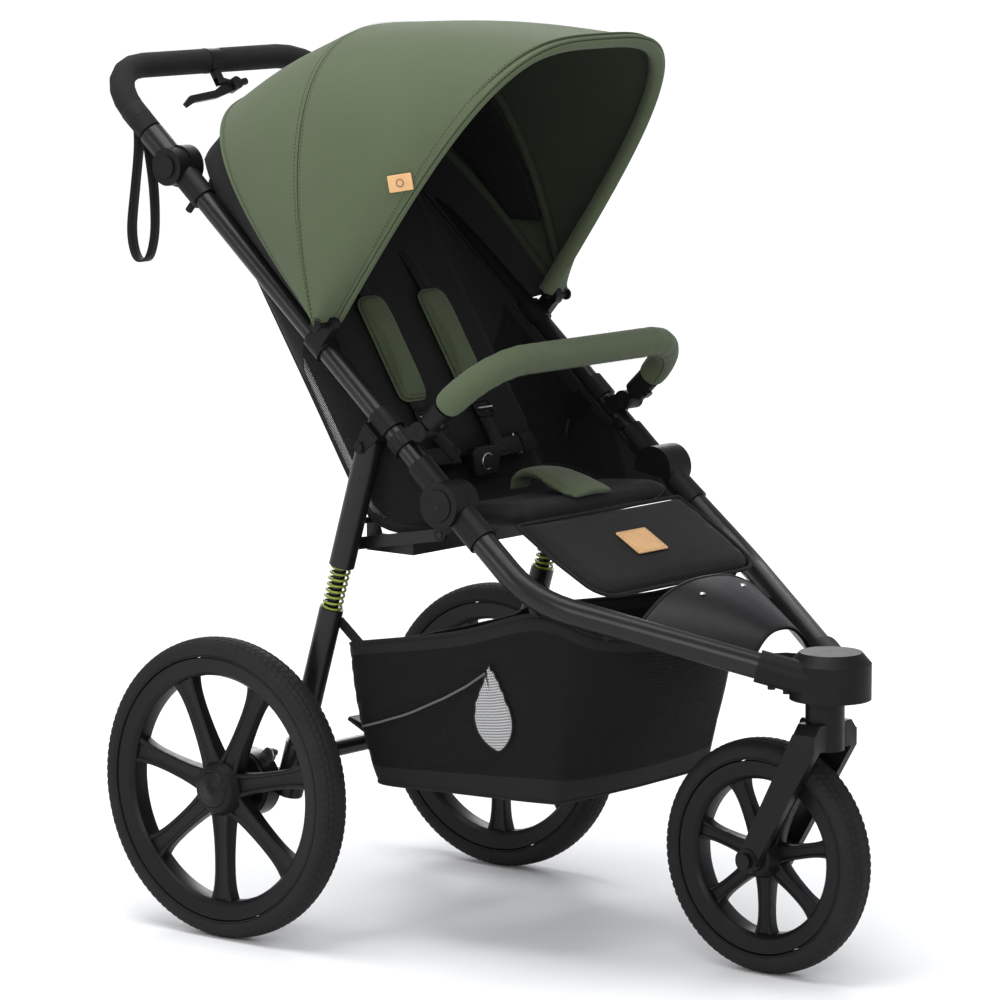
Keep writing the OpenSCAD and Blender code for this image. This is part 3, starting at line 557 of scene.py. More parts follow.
def plate(name, outline, thick, place, paint, body, bevel=0.0015, **more):
    """Flat piece: an outline in its own plane, given a thickness and soft edges."""
    n = len(outline)
    verts = [place @ Vector((x, y, z)) for z in (-thick / 2, thick / 2) for x, y in outline]
    faces = [tuple(range(n))[::-1], tuple(range(n, 2 * n))] + [
        (i, (i + 1) % n, n + (i + 1) % n, n + i) for i in range(n)
    ]
    obj = solid(name, verts, faces, paint, body, **more)
    soften(obj, bevel, 3, 0.6)
    add(obj, "WEIGHTED_NORMAL", "even_shading")
    return obj


def rounded(width, height, radius, steps=6):
    """Outline of a rectangle with rounded corners, centred on zero."""
    points = []
    for cx, cy, start in ((1, 1, 0), (-1, 1, 90), (-1, -1, 180), (1, -1, 270)):
        for k in range(steps + 1):
            a = math.radians(start + 90 * k / steps)
            points.append(
                (
                    cx * (width / 2 - radius) + radius * math.cos(a),
                    cy * (height / 2 - radius) + radius * math.sin(a)
                )
            )
    return points


def place(origin, x_axis, y_axis):
    """Matrix whose X and Y run along the two given directions."""
    x, y = Vector(x_axis).normalized(), Vector(y_axis).normalized()
    matrix = Matrix((x, y, x.cross(y))).transposed().to_4x4()
    matrix.translation = Vector(origin)
    return matrix


def turned(name, profile, centre, axis, paint, body, steps=48, **more):
    """Round piece: a profile of (radius, distance along the axis) turned about it."""
    axis = unit(np.array(axis, float))
    side = unit(np.cross(axis, (0.3, 0.9, 0.2)))
    up = np.cross(axis, side)
    a = around(steps)
    spin = np.cos(a)[:, None] * side + np.sin(a)[:, None] * up
    verts = [np.array(centre) + axis * h + spin[i] * r for i in range(steps) for r, h in profile]
    faces = grid_faces(steps, len(profile), True, False)
    return solid(name, verts, [f[::-1] for f in faces], paint, body, **more)


FILL_FRAMES = 20


def swell(obj, voxel, cap, pressure=4.0):
    """Fills a closed pad by a short cloth simulation and keeps its result."""
    scene = bpy.context.scene
    add(obj, "REMESH", "even_mesh", mode="VOXEL", voxel_size=voxel)
    bake(obj)
    rest = np.array([v.co for v in obj.data.vertices])
    cloth = add(obj, "CLOTH", "filling")
    cloth.settings.quality = 5
    cloth.settings.use_pressure = True
    cloth.settings.uniform_pressure_force = pressure
    cloth.settings.effector_weights.gravity = 0
    cloth.settings.tension_stiffness = 12
    cloth.settings.compression_stiffness = 12
    cloth.settings.bending_stiffness = 0.4
    cloth.point_cache.frame_start, cloth.point_cache.frame_end = 1, FILL_FRAMES
    for step in range(1, FILL_FRAMES + 1):
        scene.frame_set(step)
    evaluated = obj.evaluated_get(bpy.context.evaluated_depsgraph_get())
    moved = np.array([v.co for v in evaluated.data.vertices]) - rest
    length = np.linalg.norm(moved, axis=1, keepdims=True)
    moved *= np.minimum(1, cap / np.maximum(length, 1e-9))
    obj.modifiers.remove(cloth)
    obj.data.vertices.foreach_set("co", (rest + moved).astype(np.float32).ravel())
    obj.data.update()
    scene.frame_set(1)
    obj.data.polygons.foreach_set("use_smooth", [True] * len(obj.data.polygons))
    return obj


def bake(obj):
    """Applies every modifier to the mesh."""
    evaluated = obj.evaluated_get(bpy.context.evaluated_depsgraph_get())
    data = bpy.data.meshes.new_from_object(evaluated)
    obj.modifiers.clear()
    obj.data = data
    data.polygons.foreach_set("use_smooth", [True] * len(data.polygons))
    return obj


def pad(
    name, outline, thick, matrix, paint, body, crown=0.35, bow=None, fill=0.6, voxel=0.005, cap=0.006,
    **more
):
    """Sewn pad: a crowned closed form over an outline in its own plane, filled."""
    outline = np.array(outline, float)
    centre = outline.mean(0)
    rings = [
        (1.0, 0.0), (0.985, 0.55), (0.93, 0.86), (0.8, 1.0), (0.55, 1 + crown * 0.6), (0.25, 1 + crown),
        (0.02, 1 + crown)
    ]
    verts, n = [], len(outline)
    levels = [(s, -h) for s, h in rings[::-1][:-1]] + rings
    for s, h in levels:
        for q in outline:
            x, y = centre + (q - centre) * s
            z = h * thick / 2 + (bow(x, y) if bow else 0)
            verts.append(matrix @ Vector((x, y, z)))
    faces = [f[::-1] for f in grid_faces(len(levels), n, False, True)]
    faces += [tuple(range(n)), tuple(range((len(levels) - 1) * n, len(levels) * n))[::-1]]
    obj = solid(name, verts, faces, paint, body, **more)
    swell(obj, voxel, cap)
    smooth_cloth(obj)
    return obj


def side_view(x, p):
    return np.array([x, p[0], p[1]])


def along(d):
    return FOLD + d * PUSH


def on_back(d, off):
    return SEAT_REAR + d * BACK + off * BACK_FACE


# ---------------------------------------------------------------- canopy


def bow_point(bow, u, out=0.0):
    """Place on a bow; u runs from -1 at the left hinge to 1 at the right one."""
    half, reach, square, tilt = bow
    t = math.radians(90 + math.copysign(90 * (1 - (1 - abs(u)) ** 2.2), u)) if u else math.pi / 2
    c, s = math.cos(t), abs(math.sin(t))
    r = reach * s ** (2 / square)
    point = np.array(
        [
            math.copysign(abs(c) ** (2 / square) * half, c), CANOPY_AT[0] - r * math.cos(tilt),
            CANOPY_AT[1] + r * math.sin(tilt)
        ]
    )
    return point + out * unit(point - np.array([0, CANOPY_AT[0], CANOPY_AT[1] - 0.001]))


def bow_line(bow, share, count, out):
    """Points along a bow, as far as a share of it on each side."""
    return np.array([bow_point(bow, u, out) for u in np.linspace(-share, share, count)])


SHELL_REACH = 0.985
SHELL_ROWS = 97
SHELL_OUT = 0.0065
CROWN = 0.009
CLOTH = 0.0016


def canopy_grid(first, second, rows, columns, out, crown, reach=SHELL_REACH):
    """Cloth between two bows: nearly straight across, a little full in the middle."""
    rng = np.random.default_rng(7)
    waves = rng.uniform(0, 6.28, 6)
    grid = []
    for i in range(rows):
        u = reach * (2 * i / (rows - 1) - 1)
        a, b = bow_point(first, u, out), bow_point(second, u, out)
        outward = unit((a + b) / 2 - side_view(0, CANOPY_AT - (0, 0.03)))
        row = []
        for j in range(columns):
            v = j / (columns - 1)
            p = a + (b - a) * v
            soft = math.sin(math.pi * v)
            edge = abs(u) ** 4
            ripple = 0.0016 * edge * math.sin(
                9 * v + waves[0] + 3 * u
            ) + 0.0009 * math.sin(7 * u + 5 * v + waves[1])
            row.append(p + outward * (crown * soft * (1 - 0.6 * edge) + ripple * soft))
        grid.append(row)
    return np.array(grid)


def surface_normals(grid, centre):
    du, dv = np.gradient(grid, axis=0), np.gradient(grid, axis=1)
    n = unit(np.cross(du, dv))
    flip = np.sign(((grid - centre) * n).sum(-1, keepdims=True))
    return n * np.where(flip == 0, 1, flip)


def outward_first(grid, centre):
    """The grid turned so that its faces look away from the centre."""
    middle = len(grid) // 2
    a, b, c = grid[middle, 2], grid[middle + 1, 2], grid[middle + 1, 3]
    n = np.cross(b - a, c - a)
    return grid if np.dot(n, a - centre) > 0 else grid[:, ::-1]


class STROLLER_OT_canopy(bpy.types.Operator):
    """Sewn canopy over its three bows, with bow sleeves, seams, rim piping, mesh vent and tabs"""

    bl_idname = "stroller.canopy"
    bl_label = "Canopy"

    def execute(self, context):
        centre = side_view(0, CANOPY_AT)
        # Name, first and second bow, columns, fullness, bodies, half length of the bending zone
        shells = (
            ("canopy_rear", REAR_BOW, MID_BOW, 16, 0.006, ("push_frame", "canopy_mid"), 0.097),
            ("canopy_front", MID_BOW, FRONT_BOW, 30, CROWN, ("canopy_mid", "canopy_front"), 0.165),
        )
        for name, first, second, columns, crown, bodies, zone in shells:
            grid = canopy_grid(first, second, SHELL_ROWS, columns, SHELL_OUT, crown)
            normals = surface_normals(grid, centre)
            shell = sheet(
                name, outward_first(grid, centre), ("olive", "lining"), None, CLOTH,
                replaces=(f"{name}_panel",)
            )
            smooth_cloth(shell)
            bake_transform(shell)
            rear = first is REAR_BOW
            self.seams(name, grid, normals, bodies, rear)
        self.rim()
        self.sleeves()
        self.vent()
        self.tabs()
        self.curtain()
        return {"FINISHED"}

    @staticmethod
    def zone(first, second, half):
        """Two points either side of the plane midway between two bows."""
        middle = (first[3] + second[3]) / 2
        across = np.array([math.sin(middle), math.cos(middle)]) * (1 if first[3] < second[3] else -1)
        return [tuple(side_view(0, CANOPY_AT + across * d)) for d in (half, -half)]

    def seams(self, name, grid, normals, bodies, rear):
        """Double stitching on both sides of a bow's sleeve."""
        last = grid.shape[1] - 1
        columns = (0.6, last - 0.6) if rear else (0.5, last - 1.5)
        for k, (column, body) in enumerate(zip(columns, bodies)):
            low, part = int(column), column - int(column)
            line = grid[:, low] * (1 - part) + grid[:, low + 1] * part
            out = normals[:, low]
            stitches(f"{name}_stitch_{k}", line + out * 0.0006, out, "olive_thread", body)

    def rim(self):
        """Piped front edge, turned hem and the piped rear edge."""
        for name, bow, body in (("front", FRONT_BOW, "canopy_front"), ("rear", REAR_BOW, "push_frame")):
            line = even(bow_line(bow, SHELL_REACH, 160, 0.0060), 240)
            tube(f"canopy_{name}_piping", line, sizes().piping, "olive", body, 10)
        hem = bow_line(FRONT_BOW, 0.97, 160, 0.0045)
        inner = bow_line(FRONT_BOW, 0.97, 160, -0.012)
        back = np.array([0.0, math.sin(FRONT_BOW[3]), math.cos(FRONT_BOW[3])])
        turned_in = (hem * 0.6 + inner * 0.4) - back * 0.006
        lines = [hem - back * 0.003, turned_in, inner, inner + back * 0.012, hem + back * 0.010]
        band = np.stack(lines, 1)
        obj = solid("canopy_hem", band.reshape(-1, 3), grid_faces(160, 5), "olive", "canopy_front")
        add(obj, "SOLIDIFY", "cloth_thickness", thickness=0.001, offset=0)

    def sleeves(self):
        """Lining sleeves that hold the bows inside the shell."""
        # Name, bow, body, share of the bow, radius
        sleeves = (
            ("mid", MID_BOW, "canopy_mid", 0.93, 0.0062),
            ("rear", REAR_BOW, "push_frame", 0.93, 0.0062),
            ("front", FRONT_BOW, "canopy_front", 0.95, 0.0050),
        )
        for name, bow, body, share, radius in sleeves:
            line = even(bow_line(bow, share, 120, -0.0005), 160)
            tube(
                f"canopy_{name}_sleeve", line, radius, "lining", body, 12,
                replaces=(f"canopy_bow_{name}",)
            )

    def vent(self):
        """Mesh strip inside the rear panel."""
        grid = canopy_grid(REAR_BOW, MID_BOW, 41, 9, -0.002, 0.0, 0.60)[:, 1:8]
        obj = sheet("canopy_vent", grid, "mesh", "push_frame", 0.0008)

    def tabs(self):
        """Leather tab on the right side of the rim."""
        u = 0.52
        grid = canopy_grid(MID_BOW, FRONT_BOW, SHELL_ROWS, 30, SHELL_OUT, CROWN)
        normals = surface_normals(grid, side_view(0, CANOPY_AT))
        row, column = int(round((u / SHELL_REACH + 1) / 2 * (SHELL_ROWS - 1))), 25
        middle = grid[row, column] + normals[row, column] * 0.0022
        across = grid[row, column + 1] - grid[row, column - 1]
        matrix = place(middle, across, np.cross(normals[row, column], across))
        plate("canopy_tab", rounded(0.034, 0.022, 0.002), 0.0026, matrix, "leather", "canopy_front")
        ring = [matrix @ Vector((0.0048 * math.cos(a), 0.0048 * math.sin(a), 0.0014)) for a in around(24)]
        tube("canopy_tab_ring", ring, 0.0008, "burnt", "canopy_front", 6, True)

    def curtain(self):
        """Black cloth that closes the gap between the rear bow and the seat."""
        rows = 61
        over = even(bow_line(REAR_BOW, 0.955, rows, -0.004), rows)
        hem = BACK_TOP + (0.010, 0.006)
        path = [
            side_view(0.204, along(0.315)), side_view(0.204, along(0.44)), side_view(0.204, along(0.545)),
            side_view(0.180, hem), side_view(0, hem)
        ]
        path += [p * (-1, 1, 1) for p in path[-2::-1]]
        under = even(path, rows)
        grid = np.zeros((rows, 9, 3))
        for k, t in enumerate(np.linspace(0, 1, 9)):
            grid[:, k] = over * (1 - t) + under * t + (0, 0.006 * math.sin(math.pi * t), 0)
        obj = sheet("canopy_curtain", grid, "canvas", "push_frame", 0.0012)


# ---------------------------------------------------------------- seat


def fold_with_seat(obj):
    """Bakes a piece's transform into its mesh."""
    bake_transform(obj)


def hammock_edges(side, rows):
    """Top edge along the push tube and bottom edge round the seat and back."""
    top = even(
        [side_view(side * 0.203, along(d) + UNDER * 0.004) for d in np.linspace(0.055, 0.552, 12)], rows
    )
    bottom = [
        (-0.112, 0.566), (-0.06, 0.560), (0.0, 0.552), (0.05, 0.549), (0.085, 0.556), (0.108, 0.573),
        (0.135, 0.612), (0.20, 0.716), (0.29, 0.857), (0.375, 0.994)
    ]
    bottom = spline([side_view(side * 0.1845, np.array(p)) for p in bottom], rows)
    return top, bottom


class STROLLER_OT_seat(bpy.types.Operator):
    """Hammock seat: back pad, seat pad, side walls with mesh windows, and the leg rest"""

    bl_idname = "stroller.seat"
    bl_label = "Seat"

    def execute(self, context):
        self.back()
        self.seat()
        self.leg_rest()
        for side, word in SIDES:
            self.wall(side, word)
        self.back_shell()
        return {"FINISHED"}

    def back(self):
        middle = on_back(0.268, 0.020)
        matrix = place(side_view(0, middle), (1, 0, 0), (0, *BACK))
        bend = lambda x, y: 0.010 * (x / 0.17) ** 2
        pad(
            "back_pad", rounded(0.336, 0.470, 0.045), 0.024, matrix, "canvas", "back", 0.3, bend, 0.6,
            0.006, 0.006, replaces=("backrest",)
        )
        for k, x in enumerate((-0.112, 0.112)):
            line = [side_view(x, on_back(d, 0.0385)) for d in np.linspace(0.05, 0.485, 40)]
            tube(f"back_seam_{k}", line, 0.0016, "canvas", "back", 8)
            stitches(
                f"back_stitch_{k}",
                np.array(line) + side_view(math.copysign(0.006, x), BACK_FACE * 0.0010),
                [side_view(0, BACK_FACE)] * 40, "black_thread", "back"
            )
        plate(
            "head_slot", rounded(0.060, 0.009, 0.004), 0.004,
            place(side_view(0, on_back(0.405, 0.0385)), (1, 0, 0), (0, *BACK)), "webbing", "back", 0.001
        )

    def back_shell(self):
        """Fabric behind the back pad, from the seat's rear fold up to the top hem."""
        rows, columns = 30, 25
        grid = []
        for i in range(rows):
            d = 0.012 + 0.500 * i / (rows - 1)
            sag = 0.010 * math.sin(math.pi * i / (rows - 1))
            grid.append(
                [
                    side_view(x, on_back(d, 0.004 - sag * (1 - (x / 0.178) ** 2)))
                    for x in np.linspace(-0.1765, 0.1765, columns)
                ]
            )
        obj = sheet("back_shell", np.array(grid), "canvas", "back", 0.0016)
        top = [side_view(x, on_back(0.5125, 0.004)) for x in np.linspace(-0.176, 0.176, 40)]
        tube("back_top_hem", top, 0.0034, "canvas", "back", 10)

    def seat(self):
        middle = FOLD + (0.004, -0.0285)
        tilt = np.array([1.0, -0.16])
        matrix = place(side_view(0, middle), (1, 0, 0), (0, *tilt))
        dip = lambda x, y: 0.008 * (x / 0.17) ** 2 + 0.004 * math.sin(20 * y)
        pad(
            "seat_pad", rounded(0.350, 0.134, 0.030), 0.020, matrix, "canvas", "lower_frame", 0.25, dip,
            0.5, 0.005, 0.005, replaces=("seat_base",)
        )
        rows, columns = 18, 21
        path = spline(
            [
                side_view(0, np.array(p))
                for p in ((0.008, 0.569), (0.04, 0.561), (0.075, 0.557), (0.100, 0.569), (0.116, 0.592))
            ],
            rows
        )
        grid = np.array(
            [
                [p + (x, 0, 0.006 * (x / 0.175) ** 2) for x in np.linspace(-0.175, 0.175, columns)]
                for p in path
            ]
        )
        crease = sheet("seat_crease", grid, "canvas", None, 0.0016)
        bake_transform(crease)

    def leg_rest(self):
        slope = REST_END - SEAT_FRONT
        slope = slope / np.linalg.norm(slope)
        up = np.array([slope[1], -slope[0]])
        length = 0.158
        middle = SEAT_FRONT + slope * (length / 2 + 0.004) + up * -0.008 + (0, 0.003)
        matrix = place(side_view(0, middle), (1, 0, 0), (0, *-slope))
        outline = [(0.170, length / 2), (-0.170, length / 2)]
        outline += [(-0.170 - 0.003, 0.0)] + [
            (-0.135 - 0.034 * math.cos(a), -length / 2 + 0.034 - 0.034 * math.sin(a))
            for a in np.linspace(0, math.pi / 2, 8)
        ]
        outline += [(-x, y) for x, y in outline[:1:-1]]
        dense = even([(x, y, 0) for x, y in outline + outline[:1]], 97)[:-1, :2]
        pad(
            "leg_rest_pad", dense, 0.013, matrix, "canvas", "leg_rest", 0.35, None, 0.4, 0.005, 0.004,
            replaces=("leg_rest",)
        )
        edge = [matrix @ Vector((x * 1.004, y * 1.006, 0.0015)) for x, y in dense]
        tube("leg_rest_piping", np.array(edge), 0.0026, "canvas", "leg_rest", 8, True)
        inner = np.array([matrix @ Vector((x * 0.955, y * 0.90, 0.0088)) for x, y in dense])
        stitches(
            "leg_rest_stitch", inner, [side_view(0, -up if up[1] < 0 else up)] * len(inner),
            "black_thread", "leg_rest"
        )
        patch = place(matrix @ Vector((-0.010, -0.004, 0.0152)), (1, 0, 0), (0, *-slope))
        plate("leg_rest_patch", rounded(0.062, 0.046, 0.003), 0.0026, patch, "leather", "leg_rest")
        rim = np.array([patch @ Vector((x, y, 0.0012)) for x, y in rounded(0.056, 0.040, 0.002)])
        stitches(
            "leg_rest_patch_stitch", closed(rim),
            [side_view(0, np.array([-slope[1], slope[0]]) * -1)] * (len(rim) + 1), "burnt", "leg_rest"
        )

    def wall(self, side, word):
        rows, columns = 61, 15
        top, bottom = hammock_edges(side, rows)
        grid = np.zeros((rows, columns, 3))
        for j in range(columns):
            v = j / (columns - 1)
            bulge = 0.010 * math.sin(math.pi * v)
            grid[:, j] = top * (1 - v) + bottom * v
            ripple = np.sin(np.linspace(0, 17, rows) + 4 * v) * math.sin(math.pi * v)
            grid[:, j, 0] += side * bulge
            grid[:, j, 0] += side * 0.0012 * ripple
        columns_out = range(columns - 1) if side > 0 else range(columns - 2, -1, -1)
        cells = [(i, j) for i in range(rows - 1) for j in columns_out]
        window = [int(6 <= i < 34 and 2 <= j < columns - 2) for i, j in cells]
        wall = sheet(
            f"side_wall_{word}", grid if side > 0 else grid[:, ::-1], ("canvas", "mesh"), None, 0.0014,
            window, replaces=(f"side_panel_{word}",)
        )
        fold_with_seat(wall)
        for name, line in (("top", top), ("bottom", bottom)):
            piping = tube(
                f"side_{name}_piping_{word}", line + (side * 0.001, 0, 0), 0.0024, "canvas", None, 8
            )
            fold_with_seat(piping)
        for k, column in enumerate((2, columns - 3)):
            seam = stitches(
                f"side_stitch_{word}_{k}", grid[4:, column] + (side * 0.0012, 0, 0),
                [(side, 0, 0)] * (rows - 4), "black_thread", None
            )
            fold_with_seat(seam)


# ---------------------------------------------------------------- harness


# Width and thickness of the harness straps
WEBBING = (0.025, 0.0022)


class STROLLER_OT_harness(bpy.types.Operator):
    """Five-point harness: shoulder pads, webbing, adjusters, crotch pad and buckle"""

    bl_idname = "stroller.harness"
    bl_label = "Harness"

    def execute(self, context):
        for side, word in SIDES:
            self.shoulder(side, word)
        self.crotch()
        self.buckle()
        return {"FINISHED"}

    def shoulder(self, side, word):
        x = side * 0.062
        across = Vector((1, 0, 0))
        matrix = place(side_view(x, on_back(0.1975, 0.053)), across, (0, *BACK))
        curl = lambda px, py: -0.010 * (px / 0.027) ** 2 * 0.5 + 0.006 * math.sin((py + 0.08) * 18)
        pad(
            f"shoulder_pad_{word}", rounded(0.052, 0.155, 0.014), 0.011, matrix, "olive", "back", 0.3,
            curl, 0.6, 0.004, 0.003
        )
        ring = np.array(
            [
                matrix @ Vector((px * 0.985, py * 0.995, curl(px * 0.985, py)))
                for px, py in rounded(0.052, 0.155, 0.014, 8)
            ]
        )
        tube(
            f"shoulder_piping_{word}", even(closed(ring), 120)[:-1], 0.0017, "olive",
            "back", 8, True
        )
        seam = np.array(
            [
                matrix @ Vector((px, py, curl(px, py) + 0.0078))
                for px, py in rounded(0.042, 0.145, 0.010, 8)
            ]
        )
        stitches(
            f"shoulder_stitch_{word}", closed(seam),
            [side_view(0, BACK_FACE)] * (len(seam) + 1), "olive_thread", "back"
        )
        up = side_view(0, BACK_FACE)
        path = spline(
            [side_view(x, on_back(d, off)) for d, off in ((0.27, 0.052), (0.31, 0.048), (0.345, 0.041))],
            16
        )
        strap(
            f"shoulder_strap_{word}", path, [up] * 16, *WEBBING, "webbing", "back",
            replaces=("shoulder_pads", "harness_straps") if side < 0 else ()
        )
        path = spline(
            [
                side_view(x, on_back(0.122, 0.050)), side_view(x * 0.95, on_back(0.085, 0.050)),
                side_view(x * 0.85, on_back(0.055, 0.056)), side_view(x * 0.70, on_back(0.030, 0.060))
            ],
            20
        )
        strap(f"chest_strap_{word}", path, [up] * 20, *WEBBING, "webbing", "back")
        self.adjuster(f"chest_adjuster_{word}", side_view(x * 0.97, on_back(0.095, 0.052)), BACK, "back")
        path = spline(
            [
                side_view(side * 0.150, on_back(0.045, 0.040)),
                side_view(side * 0.115, on_back(0.040, 0.046)),
                side_view(side * 0.07, on_back(0.036, 0.054)),
                side_view(side * 0.04, on_back(0.032, 0.060))
            ],
            20
        )
        strap(f"hip_strap_{word}", path, [up] * 20, *WEBBING, "webbing", "back")
        self.adjuster(
            f"hip_adjuster_{word}", side_view(side * 0.100, on_back(0.039, 0.0505)), None, "back"
        )

    def adjuster(self, name, centre, direction, body):
        """Three-bar slider with a bright middle bar."""
        y = (0, *direction) if direction is not None else (1, 0, 0)
        x = (1, 0, 0) if direction is not None else (0, *BACK)
        matrix = place(centre, x, y)
        outer = [matrix @ Vector((px, py, 0.001)) for px, py in rounded(0.033, 0.022, 0.004)]
        tube(name, even(closed(outer), 48)[:-1], 0.0017, "satin", body, 8, True)
        bar = [matrix @ Vector((px, 0, 0.0026)) for px in np.linspace(-0.0155, 0.0155, 8)]
        tube(name + "_bar", bar, 0.0016, "steel", body, 8)

    def crotch(self):
        fold = side_view(0, FOLD)
        rows, sides = 28, 28
        path = spline(
            [
                fold + (0, y, z)
                for y, z in (
                    (0.064, -0.012), (0.062, 0.004), (0.045, 0.014), (0.015, 0.016), (-0.022, 0.006),
                    (-0.060, -0.006)
                )
            ],
            rows
        )
        widths = np.interp(
            np.linspace(0, 1, rows), (0, 0.25, 0.6, 0.85, 1), (0.020, 0.024, 0.040, 0.046, 0.038)
        )
        t = unit(np.gradient(path, axis=0))
        verts = []
        for i in range(rows):
            n = np.cross(t[i], (1, 0, 0))
            n = n if n[2] > 0 or i < 4 else -n
            n = n if np.dot(n, (0, 1, 1)) > 0 else -n
            ring = []
            for a in around(sides):
                x = math.copysign(abs(math.cos(a)) ** 0.5, math.cos(a)) * widths[i]
                z = math.sin(a) * 0.0048
                ring.append(path[i] + np.array([x, 0, 0]) + n * (z - 0.004 * (x / 0.046) ** 2))
            verts.append(ring)
        faces = grid_faces(rows, sides, False, True) + capped(rows, sides)
        obj = solid(
            "crotch_cover", np.array(verts).reshape(-1, 3), [f[::-1] for f in faces], "olive",
            "lower_frame", replaces=("crotch_pad",)
        )
        swell(obj, 0.0035, 0.003, 3)
        smooth_cloth(obj)
        for side in (-1, 1):
            line = np.array([path[i] + (side * widths[i] * 0.86, 0, 0.0062) for i in range(7, rows - 1)])
            stitches(
                f"crotch_stitch_{side + 2}", line, [(0, 0.1, 1)] * len(line), "olive_thread",
                "lower_frame"
            )

    def buckle(self):
        at = side_view(0, FOLD + (0.128, 0.021))
        body = plate(
            "buckle_body",
            [
                (-0.030, 0.012), (-0.022, 0.020), (0.022, 0.020), (0.030, 0.012), (0.024, -0.020),
                (-0.024, -0.020)
            ],
            0.015, place(at, (1, 0, 0), (0, 0, 1)), "satin", "lower_frame", 0.003
        )
        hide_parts("buckle")
        ring = [at + np.array([0.0105 * math.cos(a), -0.0078, 0.0105 * math.sin(a)]) for a in around(32)]
        tube("buckle_ring", ring, 0.0009, "steel", "lower_frame", 6, True)


# ---------------------------------------------------------------- bumper bar


class STROLLER_OT_bumper(bpy.types.Operator):
    """Padded bumper bar with its sewn sleeve"""

    bl_idname = "stroller.bumper"
    bl_label = "Bumper bar"

    def execute(self, context):
        half, reach, bend = 0.213, 0.134, 0.084
        outward = side_view(0, BUMPER_DIR)
        start = side_view(0, BUMPER_BASE)
        at = lambda x, d: start + (x, 0, 0) + outward * d
        corner = []
        for a in np.linspace(0, math.pi / 2, 14):
            corner.append(at(half - bend + bend * math.cos(a), reach - bend + bend * math.sin(a)))
        near = [p * (-1, 1, 1) for p in corner[::-1]]
        line = even([at(half, 0.0485), *corner, *near, at(-half, 0.0485)], 150)
        ends = np.minimum(np.arange(150), np.arange(150)[::-1])
        rng = np.random.default_rng(3)
        radius = 0.0187 - 0.0035 * np.exp(-ends / 1.1) + 0.00035 * np.sin(
            np.arange(150) * 0.9 + rng.uniform(0, 3)
        ) * np.exp(-((ends - 30) / 14) ** 2)
        pad_obj = tube("bumper_sleeve", line, radius, "olive", "bumper_bar", 32)
        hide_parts("bumper_bar")
        normal = side_view(0, (BUMPER_DIR[1], -BUMPER_DIR[0]))
        inward = unit(np.cross(unit(np.gradient(line, axis=0)), normal))
        mean = at(0, 0.06)
        inward *= np.sign(((mean - line) * inward).sum(1, keepdims=True))
        under = unit(inward * 0.55 - normal * np.sign(normal[2]) * 0.85)
        seam = line + under * (radius[:, None] + 0.0002)
        tube("bumper_seam", seam[3:-3], 0.0011, "olive", "bumper_bar", 6)
        stitches(
            "bumper_stitch", seam[3:-3] + inward[3:-3] * 0.003, under[3:-3], "olive_thread", "bumper_bar"
        )
        for k, x in enumerate((-half, half)):
            stub = [at(x, d) for d in np.linspace(0.0225, 0.056, 4)]
            tube(f"bumper_stub_{k}", stub, 0.0088, "satin", "bumper_bar", 20)
        return {"FINISHED"}


# ---------------------------------------------------------------- basket


